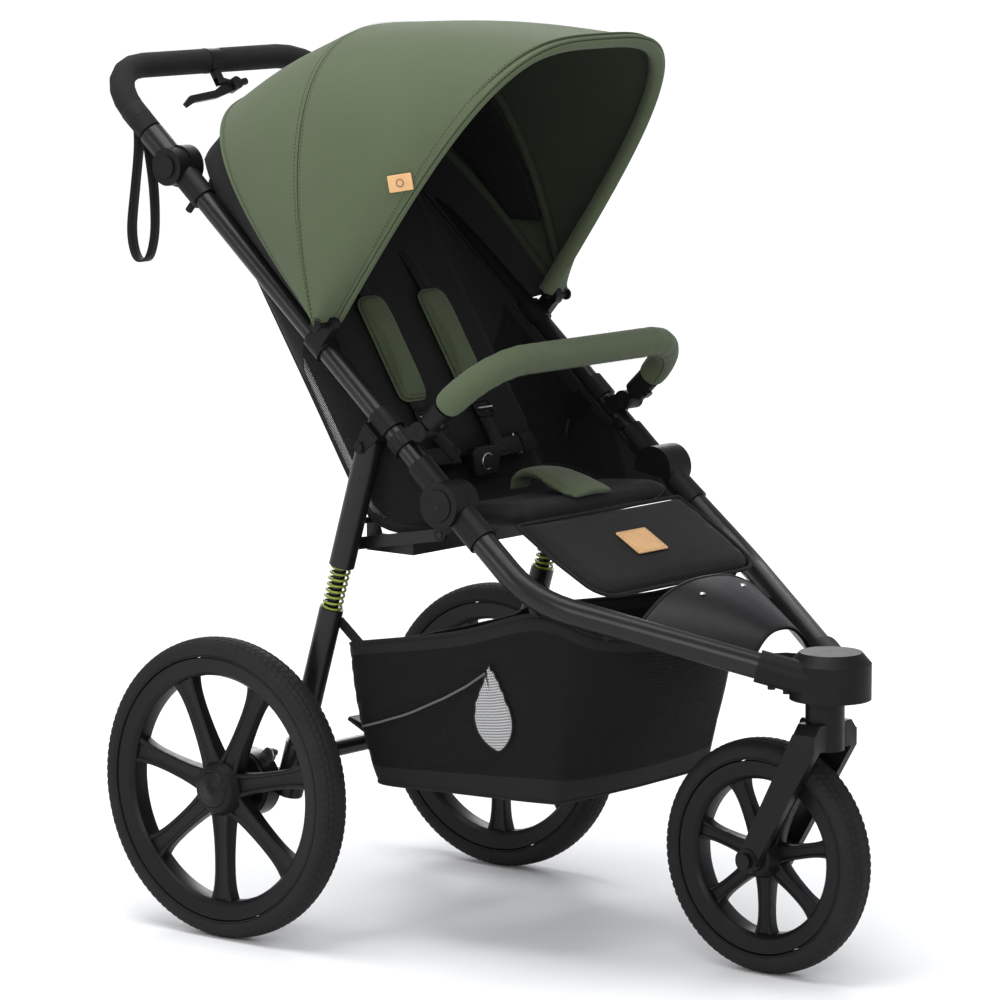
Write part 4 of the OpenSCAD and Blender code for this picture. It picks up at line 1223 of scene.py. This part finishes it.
class STROLLER_OT_basket(bpy.types.Operator):
    """Basket with mesh sides, a cloth floor, its rim piping and the straps that hang it"""

    bl_idname = "stroller.basket"
    bl_label = "Basket"

    def execute(self, context):
        rows, columns = 25, 121
        grid = np.array([self.outline(v, columns) for v in np.linspace(0, 1, rows)])
        order = grid[:, ::-1]
        band = [int(3 <= i <= rows - 4) for i in range(rows - 1) for _ in range(columns - 1)]
        sides = sheet(
            "basket_sides", order, ("canvas", "mesh"), "lower_frame", 0.0012,
            band, replaces=("basket",)
        )
        base = grid[0][:-1]
        base = np.roll(base, -int(np.argmin(base[:, 1] + 0.2 * abs(base[:, 0]))), axis=0)
        half = len(base) // 2
        base = closed(base)
        right, left = base[:half + 1], base[half:][::-1]
        count = min(len(right), len(left))
        floor_grid = np.zeros((count, 21, 3))
        for k, t in enumerate(np.linspace(0, 1, 21)):
            sag = (0, 0, 0.004 * math.sin(math.pi * t) - 0.003)
            floor_grid[:, k] = right[:count] * (1 - t) + left[:count] * t + sag
        bottom = sheet("basket_floor", floor_grid, "canvas", "lower_frame", 0.0016)
        tube("basket_rim", grid[-1][:-1], 0.0028, "canvas", "lower_frame", 8, True)
        tube(
            "basket_base_piping", grid[0][:-1] + (0, 0, -0.001), 0.0022, "canvas", "lower_frame", 8, True
        )
        for side, word in SIDES:
            self.trim(side, word)
        self.straps(grid[-1])
        return {"FINISHED"}

    @staticmethod
    def outline(v, count=121):
        """Closed line round the basket at a share v of its height."""
        bulge = 0.010 * math.sin(math.pi * v)
        corners = [
            ((0.196 - 0.002 * v + bulge), 0.076 + 0.046 * v, 0.2175 + 0.178 * v),
            ((0.184 + 0.018 * v + bulge), -0.040 - 0.02 * v, 0.2175 + 0.212 * v),
            ((0.160 + 0.040 * v + bulge), -0.176 - 0.018 * v, 0.2175 + 0.250 * v),
            ((0.136 + 0.014 * v), -0.192 - 0.062 * v, 0.2175 + 0.222 * v),
            (0.0, -0.198 - 0.066 * v - bulge, 0.2175 + 0.205 * v)
        ]
        left = [np.array(c) for c in corners]
        right = [c * (-1, 1, 1) for c in left[:-1]][::-1]
        ring = left + right + [
            np.array([-0.12, 0.083 + 0.046 * v + bulge * 0.5, 0.2175 + 0.168 * v]),
            np.array([0.12, 0.083 + 0.046 * v + bulge * 0.5, 0.2175 + 0.168 * v])
        ]
        smooth = spline(ring, count - 1, closed=True)
        return closed(smooth)

    def on_side(self, side, v, share):
        """Point on one side at a height share v and a share of the way from rear to front."""
        ring = self.outline(v, 241)
        flank = ring[(ring[:, 0] * side > 0.1) & (ring[:, 1] < 0.11) & (ring[:, 1] > -0.21)]
        flank = flank[np.argsort(-flank[:, 1])]
        y = flank[0, 1] + (flank[-1, 1] - flank[0, 1]) * share
        return np.array(
            [
                np.interp(-y, -flank[:, 1], flank[:, 0]) + side * 0.0045, y,
                np.interp(-y, -flank[:, 1], flank[:, 2])
            ]
        )

    def trim(self, side, word):
        """Light piping that rises towards the front, and a leaf-shaped mesh window."""
        line = even([self.on_side(side, 0.40 + 0.52 * t**1.3, t) for t in np.linspace(0.0, 0.70, 14)], 60)
        tube(f"basket_light_piping_{word}", line, 0.0017, "grey_piping", "lower_frame", 6)
        edge = []
        for a in around(40):
            wide = 0.085 * math.sin(a) * (1 - 0.55 * math.cos(a)) * (0.35 + 0.65 * abs(math.sin(a)))
            edge.append(self.on_side(side, 0.52 + 0.25 * math.cos(a), 0.72 + wide))
        middle = np.mean(edge, axis=0)
        verts = [middle, *edge]
        faces = [(0, k + 1, (k + 1) % 40 + 1) for k in range(40)]
        solid(f"basket_window_{word}", verts, faces, "window", "lower_frame")
        tube(f"basket_window_edge_{word}", edge, 0.0012, "canvas", "lower_frame", 6, True)

    def straps(self, rim):
        """Webbing from the rim to the lower tubes and rear legs."""
        hooks = (
            ((0.206, -0.190, 0.466), (0.224, -0.196, 0.492)),
            ((0.150, -0.256, 0.440), (0.168, -0.300, 0.458)),
            ((0.200, 0.10, 0.392), (0.206, 0.135, 0.425))
        )
        for side in (-1, 1):
            for k, (a, b) in enumerate(hooks):
                a, b = np.array(a) * (side, 1, 1), np.array(b) * (side, 1, 1)
                path = even([a, b], 8)
                strap(
                    f"basket_strap_{side + 2}_{k}", path, [(side, 0.2, 0)] * 8, 0.016, 0.0018, "webbing",
                    "lower_frame"
                )


# ---------------------------------------------------------------- wheels


class STROLLER_OT_wheels(bpy.types.Operator):
    """Tyres with their tread, spoked rims with hub caps, valves, and the drum brakes"""

    bl_idname = "stroller.wheels"
    bl_label = "Wheels"

    def execute(self, context):
        # Name, centre, outer diameter, width, body, the two nodes that it stands for, tread blocks
        wheels = (
            (
                "front", side_view(0, FRONT_AXLE), 0.305, 0.050, "front_wheel", "front_rim", "front_tyre",
                90
            ),
            (
                "right", side_view(-0.288, REAR_AXLE), 0.400, 0.047, "rear_wheel_right", "rear_rim_right",
                "rear_tyre_right", sizes().tread_blocks
            ),
            (
                "left", side_view(0.288, REAR_AXLE), 0.400, 0.047, "rear_wheel_left", "rear_rim_left",
                "rear_tyre_left", sizes().tread_blocks
            )
        )
        for word, centre, size, width, body, rim, tyre, blocks in wheels:
            self.tyre(word, centre, size, width, body, tyre, blocks)
            self.rim(word, centre, size, width, body, rim)
        self.brakes()
        return {"FINISHED"}

    def tyre(self, word, centre, size, width, body, node, blocks):
        """Round casing cut by grooves round it and across it."""
        depth = sizes().tread_depth
        tall = 0.62 * width
        middle = size / 2 - tall * 0.5
        steps = blocks * 4
        section = np.radians(np.linspace(-128, 128, 49))
        ring = []
        for a in section:
            r = middle + tall * 0.5 * math.copysign(abs(math.cos(a)) ** 0.86, math.cos(a))
            x = width * 0.497 * math.copysign(abs(math.sin(a)) ** 0.86, math.sin(a))
            ring.append((r, x, math.degrees(a)))
        verts = []
        for i in range(steps):
            turn = 2 * math.pi * i / steps
            for r, x, a in ring:
                shoulder = abs(a)
                groove = 0.0
                if shoulder < 66:
                    row = 0 if shoulder < 15 else 1 if shoulder < 38 else 2
                    across = (i + (2 if row == 1 else 0)) % 4
                    if across == 0:
                        groove = depth * (0.6 if row == 0 else 1.0)
                    if abs(shoulder - 16) < 2.8 or abs(shoulder - 38) < 2.8:
                        groove = depth
                elif 70 < shoulder < 96 and i % 2:
                    groove = 0.0004
                out = r - groove
                verts.append(centre + np.array([x, out * math.cos(turn), out * math.sin(turn)]))
        faces = grid_faces(steps, len(ring), True, False)
        obj = solid(f"tyre_{word}", verts, faces, "tyre", body, replaces=(node,))
        obj.data.polygons.foreach_set("use_smooth", [True] * len(obj.data.polygons))
        add(obj, "WEIGHTED_NORMAL", "even_shading", keep_sharp=True)
        for side in (-1, 1):
            line = self.circle(centre + (side * width * 0.445, 0, 0), size / 2 - tall * 0.80, 128)
            tube(f"tyre_bead_{word}_{side + 2}", line, 0.0011, "tyre", body, 6, True)

    @staticmethod
    def circle(centre, r, count):
        a = around(count)
        return np.stack(
            [np.full(count, centre[0]), centre[1] + r * np.cos(a), centre[2] + r * np.sin(a)], 1
        )

    def rim(self, word, centre, size, width, body, node):
        """Deep rim ring, flat spokes that run into the hub, hub cap and valve."""
        bead = size / 2 - 0.62 * width
        half = (width - 0.010) / 2
        profile = [
            (bead - 0.001, half), (bead + 0.0035, half + 0.0012), (bead + 0.0040, half - 0.0014),
            (bead - 0.004, half - 0.004), (bead - 0.004, -half + 0.004), (bead + 0.0040, -half + 0.0014),
            (bead + 0.0035, -half - 0.0012), (bead - 0.001, -half), (bead - 0.015, -half + 0.001),
            (bead - 0.0205, -half + 0.007), (bead - 0.0215, 0.0), (bead - 0.0205, half - 0.007),
            (bead - 0.015, half - 0.001)
        ]
        ring = turned(
            f"rim_{word}", profile + profile[:1], centre, (1, 0, 0), "satin", body, 128, replaces=(node,)
        )
        soften(ring, 0.0008)
        count = sizes().spokes
        hub = size / 11
        for k in range(count):
            self.spoke(
                f"spoke_{word}_{k + 1}", centre, 2 * math.pi * (k + 0.25) / count, hub * 0.8,
                bead - 0.019, size, body
            )
        outer = 0.030 if word == "front" else 0.0245
        hub_profile = [
            (0.0062, -outer), (hub * 0.72, -outer), (hub * 0.86, -outer + 0.003), (hub * 0.95, -0.014),
            (hub, -0.011), (hub, 0.011), (hub * 0.95, 0.014), (hub * 0.86, outer - 0.003),
            (hub * 0.72, outer), (0.0062, outer), (0.0062, -outer)
        ]
        obj = turned(f"hub_{word}", hub_profile, centre, (1, 0, 0), "plastic", body, 64)
        soften(obj, 0.0008)
        if word != "front":
            side = -1 if word == "right" else 1
            cap = [
                (0.0, 0.0052), (0.006, 0.0050), (0.0066, 0.0036), (0.017, 0.0034), (0.0215, 0.0022),
                (0.0240, 0.0002), (0.0240, -0.003)
            ]
            turned(f"hub_cap_{word}", cap, centre + (side * outer, 0, 0), (side, 0, 0), "satin", body, 48)
            turned(
                f"hub_button_{word}",
                [(0.0, 0.0068), (0.0040, 0.0064), (0.0052, 0.0050), (0.0052, 0.003)],
                centre + (side * outer, 0, 0), (side, 0, 0), "plastic", body, 32
            )
        a = 2 * math.pi * 0.62
        way = np.array([0.0, math.cos(a), math.sin(a)])
        stem = [centre + way * r for r in (bead - 0.020, bead - 0.034, bead - 0.044)]
        tube(f"valve_{word}", stem, [0.0032, 0.0030, 0.0026], "tyre", body, 12)
        tube(
            f"valve_cap_{word}", [centre + way * r for r in (bead - 0.0435, bead - 0.052)], 0.0036,
            "satin", body, 12
        )

    def spoke(self, name, centre, turn, inner, outer, size, body):
        """Flat bar, dished in its middle, wider at the rim and at the hub."""
        way = np.array([0.0, math.cos(turn), math.sin(turn)])
        across = np.array([0.0, -math.sin(turn), math.cos(turn)])
        face = np.array([1.0, 0.0, 0.0])
        rows = 22
        verts = []
        for i in range(rows):
            t = i / (rows - 1)
            r = inner + (outer - inner) * t
            half = size / 34 * (1 + 0.45 * (1 - t) ** 5 + 0.62 * t ** 7)
            thick = 0.0075 + 0.0045 * (1 - t) ** 2 + 0.003 * t ** 6
            for u, v in (
                (-1, -0.8), (-0.9, -1), (-0.62, -1), (-0.5, -0.72), (0.5, -0.72), (0.62, -1), (0.9, -1),
                (1, -0.8), (1, 0.8), (0.9, 1), (0.62, 1), (0.5, 0.72), (-0.5, 0.72), (-0.62, 1),
                (-0.9, 1), (-1, 0.8)
            ):
                verts.append(centre + way * r + across * half * u + face * thick * v)
        faces = grid_faces(rows, 16, False, True) + capped(rows, 16)
        obj = solid(name, verts, [f[::-1] for f in faces], "satin", body)
        soften(obj, 0.0006)

    def brakes(self):
        """Drum faces, caliper arms and bright bolts beside the rear wheels."""
        for side, word in SIDES:
            centre = side_view(side * 0.2585, REAR_AXLE)
            drum = [(0.012, 0.0), (0.040, 0.0), (0.0435, -0.002), (0.0435, -0.007), (0.041, -0.0085)]
            turned(f"drum_{word}", drum, centre, (side, 0, 0), "satin", "rear_axle", 56)
            arm = place(
                side_view(side * 0.2395, REAR_AXLE + (-0.020, 0.026)), (0, 0.72, -0.69), (0, 0.69, 0.72)
            )
            plate(
                f"caliper_{word}", rounded(0.062, 0.020, 0.009), 0.005, arm, "steel", "rear_axle", 0.001
            )
            for k, spot in enumerate(((-0.040, 0.044), (0.006, 0.000))):
                bolt = [(0.0, 0.006), (0.0046, 0.0055), (0.0058, 0.004), (0.0058, 0.0)]
                turned(
                    f"caliper_bolt_{word}_{k + 1}", bolt, side_view(side * 0.2370, REAR_AXLE + spot),
                    (-side, 0, 0), "steel", "rear_axle", 6
                )


# ---------------------------------------------------------------- springs


class STROLLER_OT_springs(bpy.types.Operator):
    """Coil springs with flat ground ends over the rear legs"""

    bl_idname = "stroller.springs"
    bl_label = "Springs"

    def execute(self, context):
        leg = np.array([0.0710, 0.6629])
        way = np.array([0.2896, -0.9571])
        turns = sizes().coil_turns
        low, high = 0.1625, 0.2275
        a = np.linspace(0, turns * 2 * math.pi, turns * 26)
        share = a / a[-1]
        rise = np.interp(share, (0, 0.08, 0.92, 1), (0, 0.02, 0.98, 1))
        for side, word in SIDES:
            centre = np.array(
                [side_view(side * HALF_W, leg + way * (low + (high - low) * s)) for s in rise]
            )
            across = side_view(0, np.array([way[1], -way[0]]))
            line = centre + 0.0122 * (
                np.cos(a)[:, None] * np.array([1.0, 0, 0]) + np.sin(a)[:, None] * across
            )
            coil = tube(f"spring_{word}", line, 0.00175, "spring", "rear_legs", 8)
            if side < 0:
                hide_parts("springs")
        return {"FINISHED"}


# ---------------------------------------------------------------- handle


class STROLLER_OT_handle(bpy.types.Operator):
    """Footboard, wrist strap, brake cable with its barrel, and screws"""

    bl_idname = "stroller.handle"
    bl_label = "Handle details"

    def execute(self, context):
        self.cable()
        self.footboard()
        self.wrist_strap()
        self.screws()
        return {"FINISHED"}

    def cable(self):
        bar = side_view(0, BAR_AT)
        points = [
            bar + np.array(p) / 1000
            for p in (
                (80, -29, -41), (120, -43, -50), (160, -66, -66), (184, -95, -88), (193, -121, -107),
                (193, -162, -141)
            )
        ]
        points.append(side_view(0.2025, along(0.551)))
        path = spline(points, 90)
        obj = tube("brake_cable_sheath", path, 0.0025, "cable", "push_frame", 10)
        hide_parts("brake_cable")
        way = unit(path[2] - path[0])
        turned(
            "barrel_adjuster",
            [
                (0.0, -0.004), (0.0048, -0.004), (0.0054, -0.002), (0.0054, 0.008), (0.0040, 0.010),
                (0.0036, 0.015), (0.0, 0.015)
            ],
            path[0], way, "steel", "push_frame", 18
        )

    def wrist_strap(self):
        """Flat loop hanging from its keeper on the right push tube."""
        top = side_view(-HALF_W, along(0.719))
        points = [
            (0, -0.004, -0.014), (0, -0.002, -0.040), (0, 0.006, -0.095), (0, 0.010, -0.150),
            (0, 0.002, -0.184), (0, -0.012, -0.194), (0, -0.026, -0.184), (0, -0.033, -0.150),
            (0, -0.028, -0.095), (0, -0.017, -0.040), (0, -0.012, -0.014)
        ]
        line = spline([top + np.array(p) for p in points], 90)
        line[:, 0] += 0.003 * np.sin(np.linspace(0, 9, 90))
        middle = line.mean(0)
        out = unit((line - middle) * (0, 1, 0.35))
        strap("wrist_loop", line, out, 0.018, 0.0018, "webbing", "push_frame")
        way = side_view(0, PUSH)
        band = turned(
            "wrist_keeper",
            [
                (0.0143, -0.011), (0.0168, -0.011), (0.0172, -0.009), (0.0172, 0.009), (0.0168, 0.011),
                (0.0143, 0.011)
            ],
            top, way, "webbing", "push_frame", 40
        )
        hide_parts("wrist_strap")

    def footboard(self):
        """Moulded arch between the lower tubes, with a raised rim along its rear edge."""
        bend, end = np.array([0.226, -0.203, 0.489]), np.array([0.043, -0.484, 0.3982])
        rows, columns = 22, 41
        grid = []
        for k in np.linspace(0.36, 0.80, rows):
            p = bend + (end - bend) * k
            half = p[0] - 0.0175
            rise = 0.050 * (1 - 0.25 * ((k - 0.36) / 0.44) ** 2)
            grid.append(
                [
                    (half * t, p[1], p[2] - 0.006 + rise * (1 - abs(t) ** 2.4))
                    for t in np.linspace(-1, 1, columns)
                ]
            )
        grid = np.array(grid)
        obj = solid(
            "footboard_arch", grid.reshape(-1, 3), grid_faces(rows, columns), "satin", "lower_frame",
            replaces=("footboard",)
        )
        add(obj, "SOLIDIFY", "moulded_thickness", thickness=0.005, offset=0)
        soften(obj, 0.0012, 3, 0.8)
        tube("footboard_rim", grid[0], 0.0036, "plastic", "lower_frame", 12)
        for x in (-0.36, 0.36):
            row = grid[5]
            spot = row[int(round((x + 1) / 2 * (columns - 1)))]
            turned(
                f"footboard_screw_{'left' if x > 0 else 'right'}",
                [(0.0, 0.0046), (0.0035, 0.0044), (0.0046, 0.0024)], spot, (0, 0, 1), "steel",
                "lower_frame", 20
            )

    def screws(self):
        """Small cross-head screws beside the hubs."""
        profile = [(0.0, 0.0012), (0.0035, 0.0010), (0.0046, 0.0)]
        for k, (side, word) in enumerate(SIDES):
            for part, (node, spot) in enumerate(
                (("fold_pins", FOLD + (0.0, -0.001)), (f"handle_hub_{word}", HANDLE_AT))
            ):
                low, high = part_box(node)
                x = (low.x if side < 0 else high.x) + side * 0.0003
                name = f"hub_screw_{2 * k + part + 1}"
                turned(name, profile, side_view(x, spot), (side, 0, 0), "satin", "push_frame", 24)


# ---------------------------------------------------------------- frame


class STROLLER_OT_frame(bpy.types.Operator):
    """Finishes and soft edges on the hard pieces of the frame"""

    bl_idname = "stroller.frame"
    bl_label = "Frame finishes"

    def execute(self, context):
        by_slot = {
            "frame_alloy": "tube", "plastic": "plastic", "tyre": "tyre", "foam_grip": "foam",
            "black_fabric": "canvas", "olive_fabric": "olive", "steel": "steel", "spring_paint": "spring",
            "cable": "cable"
        }
        own = {
            "front_axle": "satin", "handlebar": "tube", "rear_legs": "tube", "rear_axle_bar": "tube",
            "lever_bracket": "satin", "brake_lever": "satin", "buckle_button": "satin",
            "handle_button_right": "satin", "handle_button_left": "satin", "bumper_buttons": "satin",
            "fork": "satin", "canopy_bow_front": "tube", "canopy_bow_mid": "tube",
            "canopy_bow_rear": "tube"
        }
        slots = {part["node"]: part["material_slot"] for part in frame["record"]["subparts"]}
        for node, obj in frame["nodes"].items():
            obj.data.materials.clear()
            obj.data.materials.append(PAINTS[own.get(node, by_slot[slots[node]])])
            add(obj, "WELD", "one_skin", merge_threshold=0.00002)
            if slots[node] in ("plastic", "frame_alloy", "steel"):
                soften(obj, 0.0009, 2, 0.7)
            obj.data.polygons.foreach_set("use_smooth", [True] * len(obj.data.polygons))
            add(obj, "WEIGHTED_NORMAL", "even_shading", keep_sharp=False)
        return {"FINISHED"}


# ---------------------------------------------------------------- stage


EYE = (-5.24784, -4.24539, 1.55301)
TARGET = (-0.1282, -0.071, 0.5949)
LENS_MM = 186.55
FLOOR_HALF = 60

# Name, place, target, edge length in metres, watts
SOFT_BOXES = (
    ("overhead", (-0.4, 0.2, 3.4), (0, 0.1, 0.5), 2.6, 100),
    ("front_left", (-3.2, -3.0, 2.2), (0, 0, 0.6), 2.0, 62),
    ("rear_right", (3.0, 2.4, 2.2), (0, 0, 0.7), 1.6, 50),
    ("side", (-3.6, 1.2, 1.5), (0, 0, 0.6), 1.5, 26),
)


def aim(obj, spot, target):
    """Puts a light or the camera in its place, looking at a target."""
    obj.location = spot
    obj.rotation_euler = (Vector(target) - Vector(spot)).to_track_quat("-Z", "Y").to_euler()


class STROLLER_OT_stage(bpy.types.Operator):
    """Pale floor, soft boxes and the camera"""

    bl_idname = "stroller.stage"
    bl_label = "Stage"

    def execute(self, context):
        self.floor()
        self.lights()
        self.world()
        camera = bpy.data.cameras.new("camera")
        camera.lens, camera.sensor_width = LENS_MM, 36
        camera.clip_end = 60
        obj = bpy.data.objects.new("camera", camera)
        context.scene.collection.objects.link(obj)
        aim(obj, EYE, TARGET)
        context.scene.camera = obj
        context.scene.view_settings.view_transform = "Standard"
        return {"FINISHED"}

    def floor(self):
        paint = Paint("studio_floor")
        grain = paint.noise(30, 3, 0.5)
        rgb = tuple(colours().floor)
        spot = paint.place()
        away = paint.node("ShaderNodeVectorMath", {"operation": "LENGTH"}, {0: spot}, "Value")
        share = paint.node(
            "ShaderNodeMapRange", {"interpolation_type": "SMOOTHSTEP"},
            {"Value": away, "From Min": 1.6, "From Max": 6.0}
        )
        glow = paint.mix(share, (0.0, 0.0, 0.0), (0.55, 0.55, 0.55))
        paint.finish(
            paint.mix(grain * 0.2, rgb, shade(rgb, 0.985)), 0.75 + grain * 0.1, Emission_Color=glow,
            Emission_Strength=1.0, Specular_IOR_Level=0.1
        )
        data = bpy.data.meshes.new("studio_floor")
        corners = ((-1, -1, 0), (1, -1, 0), (1, 1, 0), (-1, 1, 0))
        data.from_pydata([FLOOR_HALF * Vector(corner) for corner in corners], [], [(0, 1, 2, 3)])
        data.materials.append(paint.material)
        obj = bpy.data.objects.new("studio_floor", data)
        bpy.context.scene.collection.objects.link(obj)

    def lights(self):
        for name, spot, target, size, power in SOFT_BOXES:
            data = bpy.data.lights.new(name, "AREA")
            data.energy, data.size = power, size
            obj = bpy.data.objects.new(name, data)
            aim(obj, spot, target)
            bpy.context.scene.collection.objects.link(obj)

    def world(self):
        world = bpy.data.worlds.new("studio")
        bpy.context.scene.world = world
        world.use_nodes = True
        tree = world.node_tree
        tree.nodes.clear()
        out = tree.nodes.new("ShaderNodeOutputWorld")
        ray = tree.nodes.new("ShaderNodeLightPath")
        mixer = tree.nodes.new("ShaderNodeMixShader")
        dim, bright = tree.nodes.new("ShaderNodeBackground"), tree.nodes.new("ShaderNodeBackground")
        dim.inputs["Color"].default_value, dim.inputs["Strength"].default_value = (
            0.93, 0.95, 1.0, 1
        ), 0.55
        bright.inputs["Color"].default_value, bright.inputs["Strength"].default_value = (1, 1, 1, 1), 1.0
        tree.links.new(ray.outputs["Is Camera Ray"], mixer.inputs[0])
        tree.links.new(dim.outputs[0], mixer.inputs[1])
        tree.links.new(bright.outputs[0], mixer.inputs[2])
        tree.links.new(mixer.outputs[0], out.inputs[0])


# ---------------------------------------------------------------- panel

OPERATORS = (
    STROLLER_OT_frame, STROLLER_OT_canopy, STROLLER_OT_seat, STROLLER_OT_harness, STROLLER_OT_bumper,
    STROLLER_OT_basket, STROLLER_OT_wheels, STROLLER_OT_springs, STROLLER_OT_handle, STROLLER_OT_stage
)


class STROLLER_PT_panel(bpy.types.Panel):
    """Sizes, colours and one button for each group of pieces"""

    bl_idname = "STROLLER_PT_panel"
    bl_label = "Jogging stroller"
    bl_space_type = "VIEW_3D"
    bl_region_type = "UI"
    bl_category = "Stroller"

    def draw(self, context):
        for settings in (sizes(), colours()):
            column = self.layout.column(align=True)
            for name in settings.__annotations__:
                column.prop(settings, name)
        column = self.layout.column(align=True)
        for operator in OPERATORS:
            column.operator(operator.bl_idname)


CLASSES = (StrollerSizes, StrollerColours, *OPERATORS, STROLLER_PT_panel)


def register():
    for cls in CLASSES:
        bpy.utils.register_class(cls)
    bpy.types.Scene.stroller_sizes = PointerProperty(type=StrollerSizes)
    bpy.types.Scene.stroller_colours = PointerProperty(type=StrollerColours)


def unregister():
    del bpy.types.Scene.stroller_colours
    del bpy.types.Scene.stroller_sizes
    for cls in reversed(CLASSES):
        bpy.utils.unregister_class(cls)


def main():
    register()
    make_paints()
    for operator in OPERATORS:
        group, name = operator.bl_idname.split(".")
        getattr(getattr(bpy.ops, group), name)()


if __name__ == "__main__":
    main()
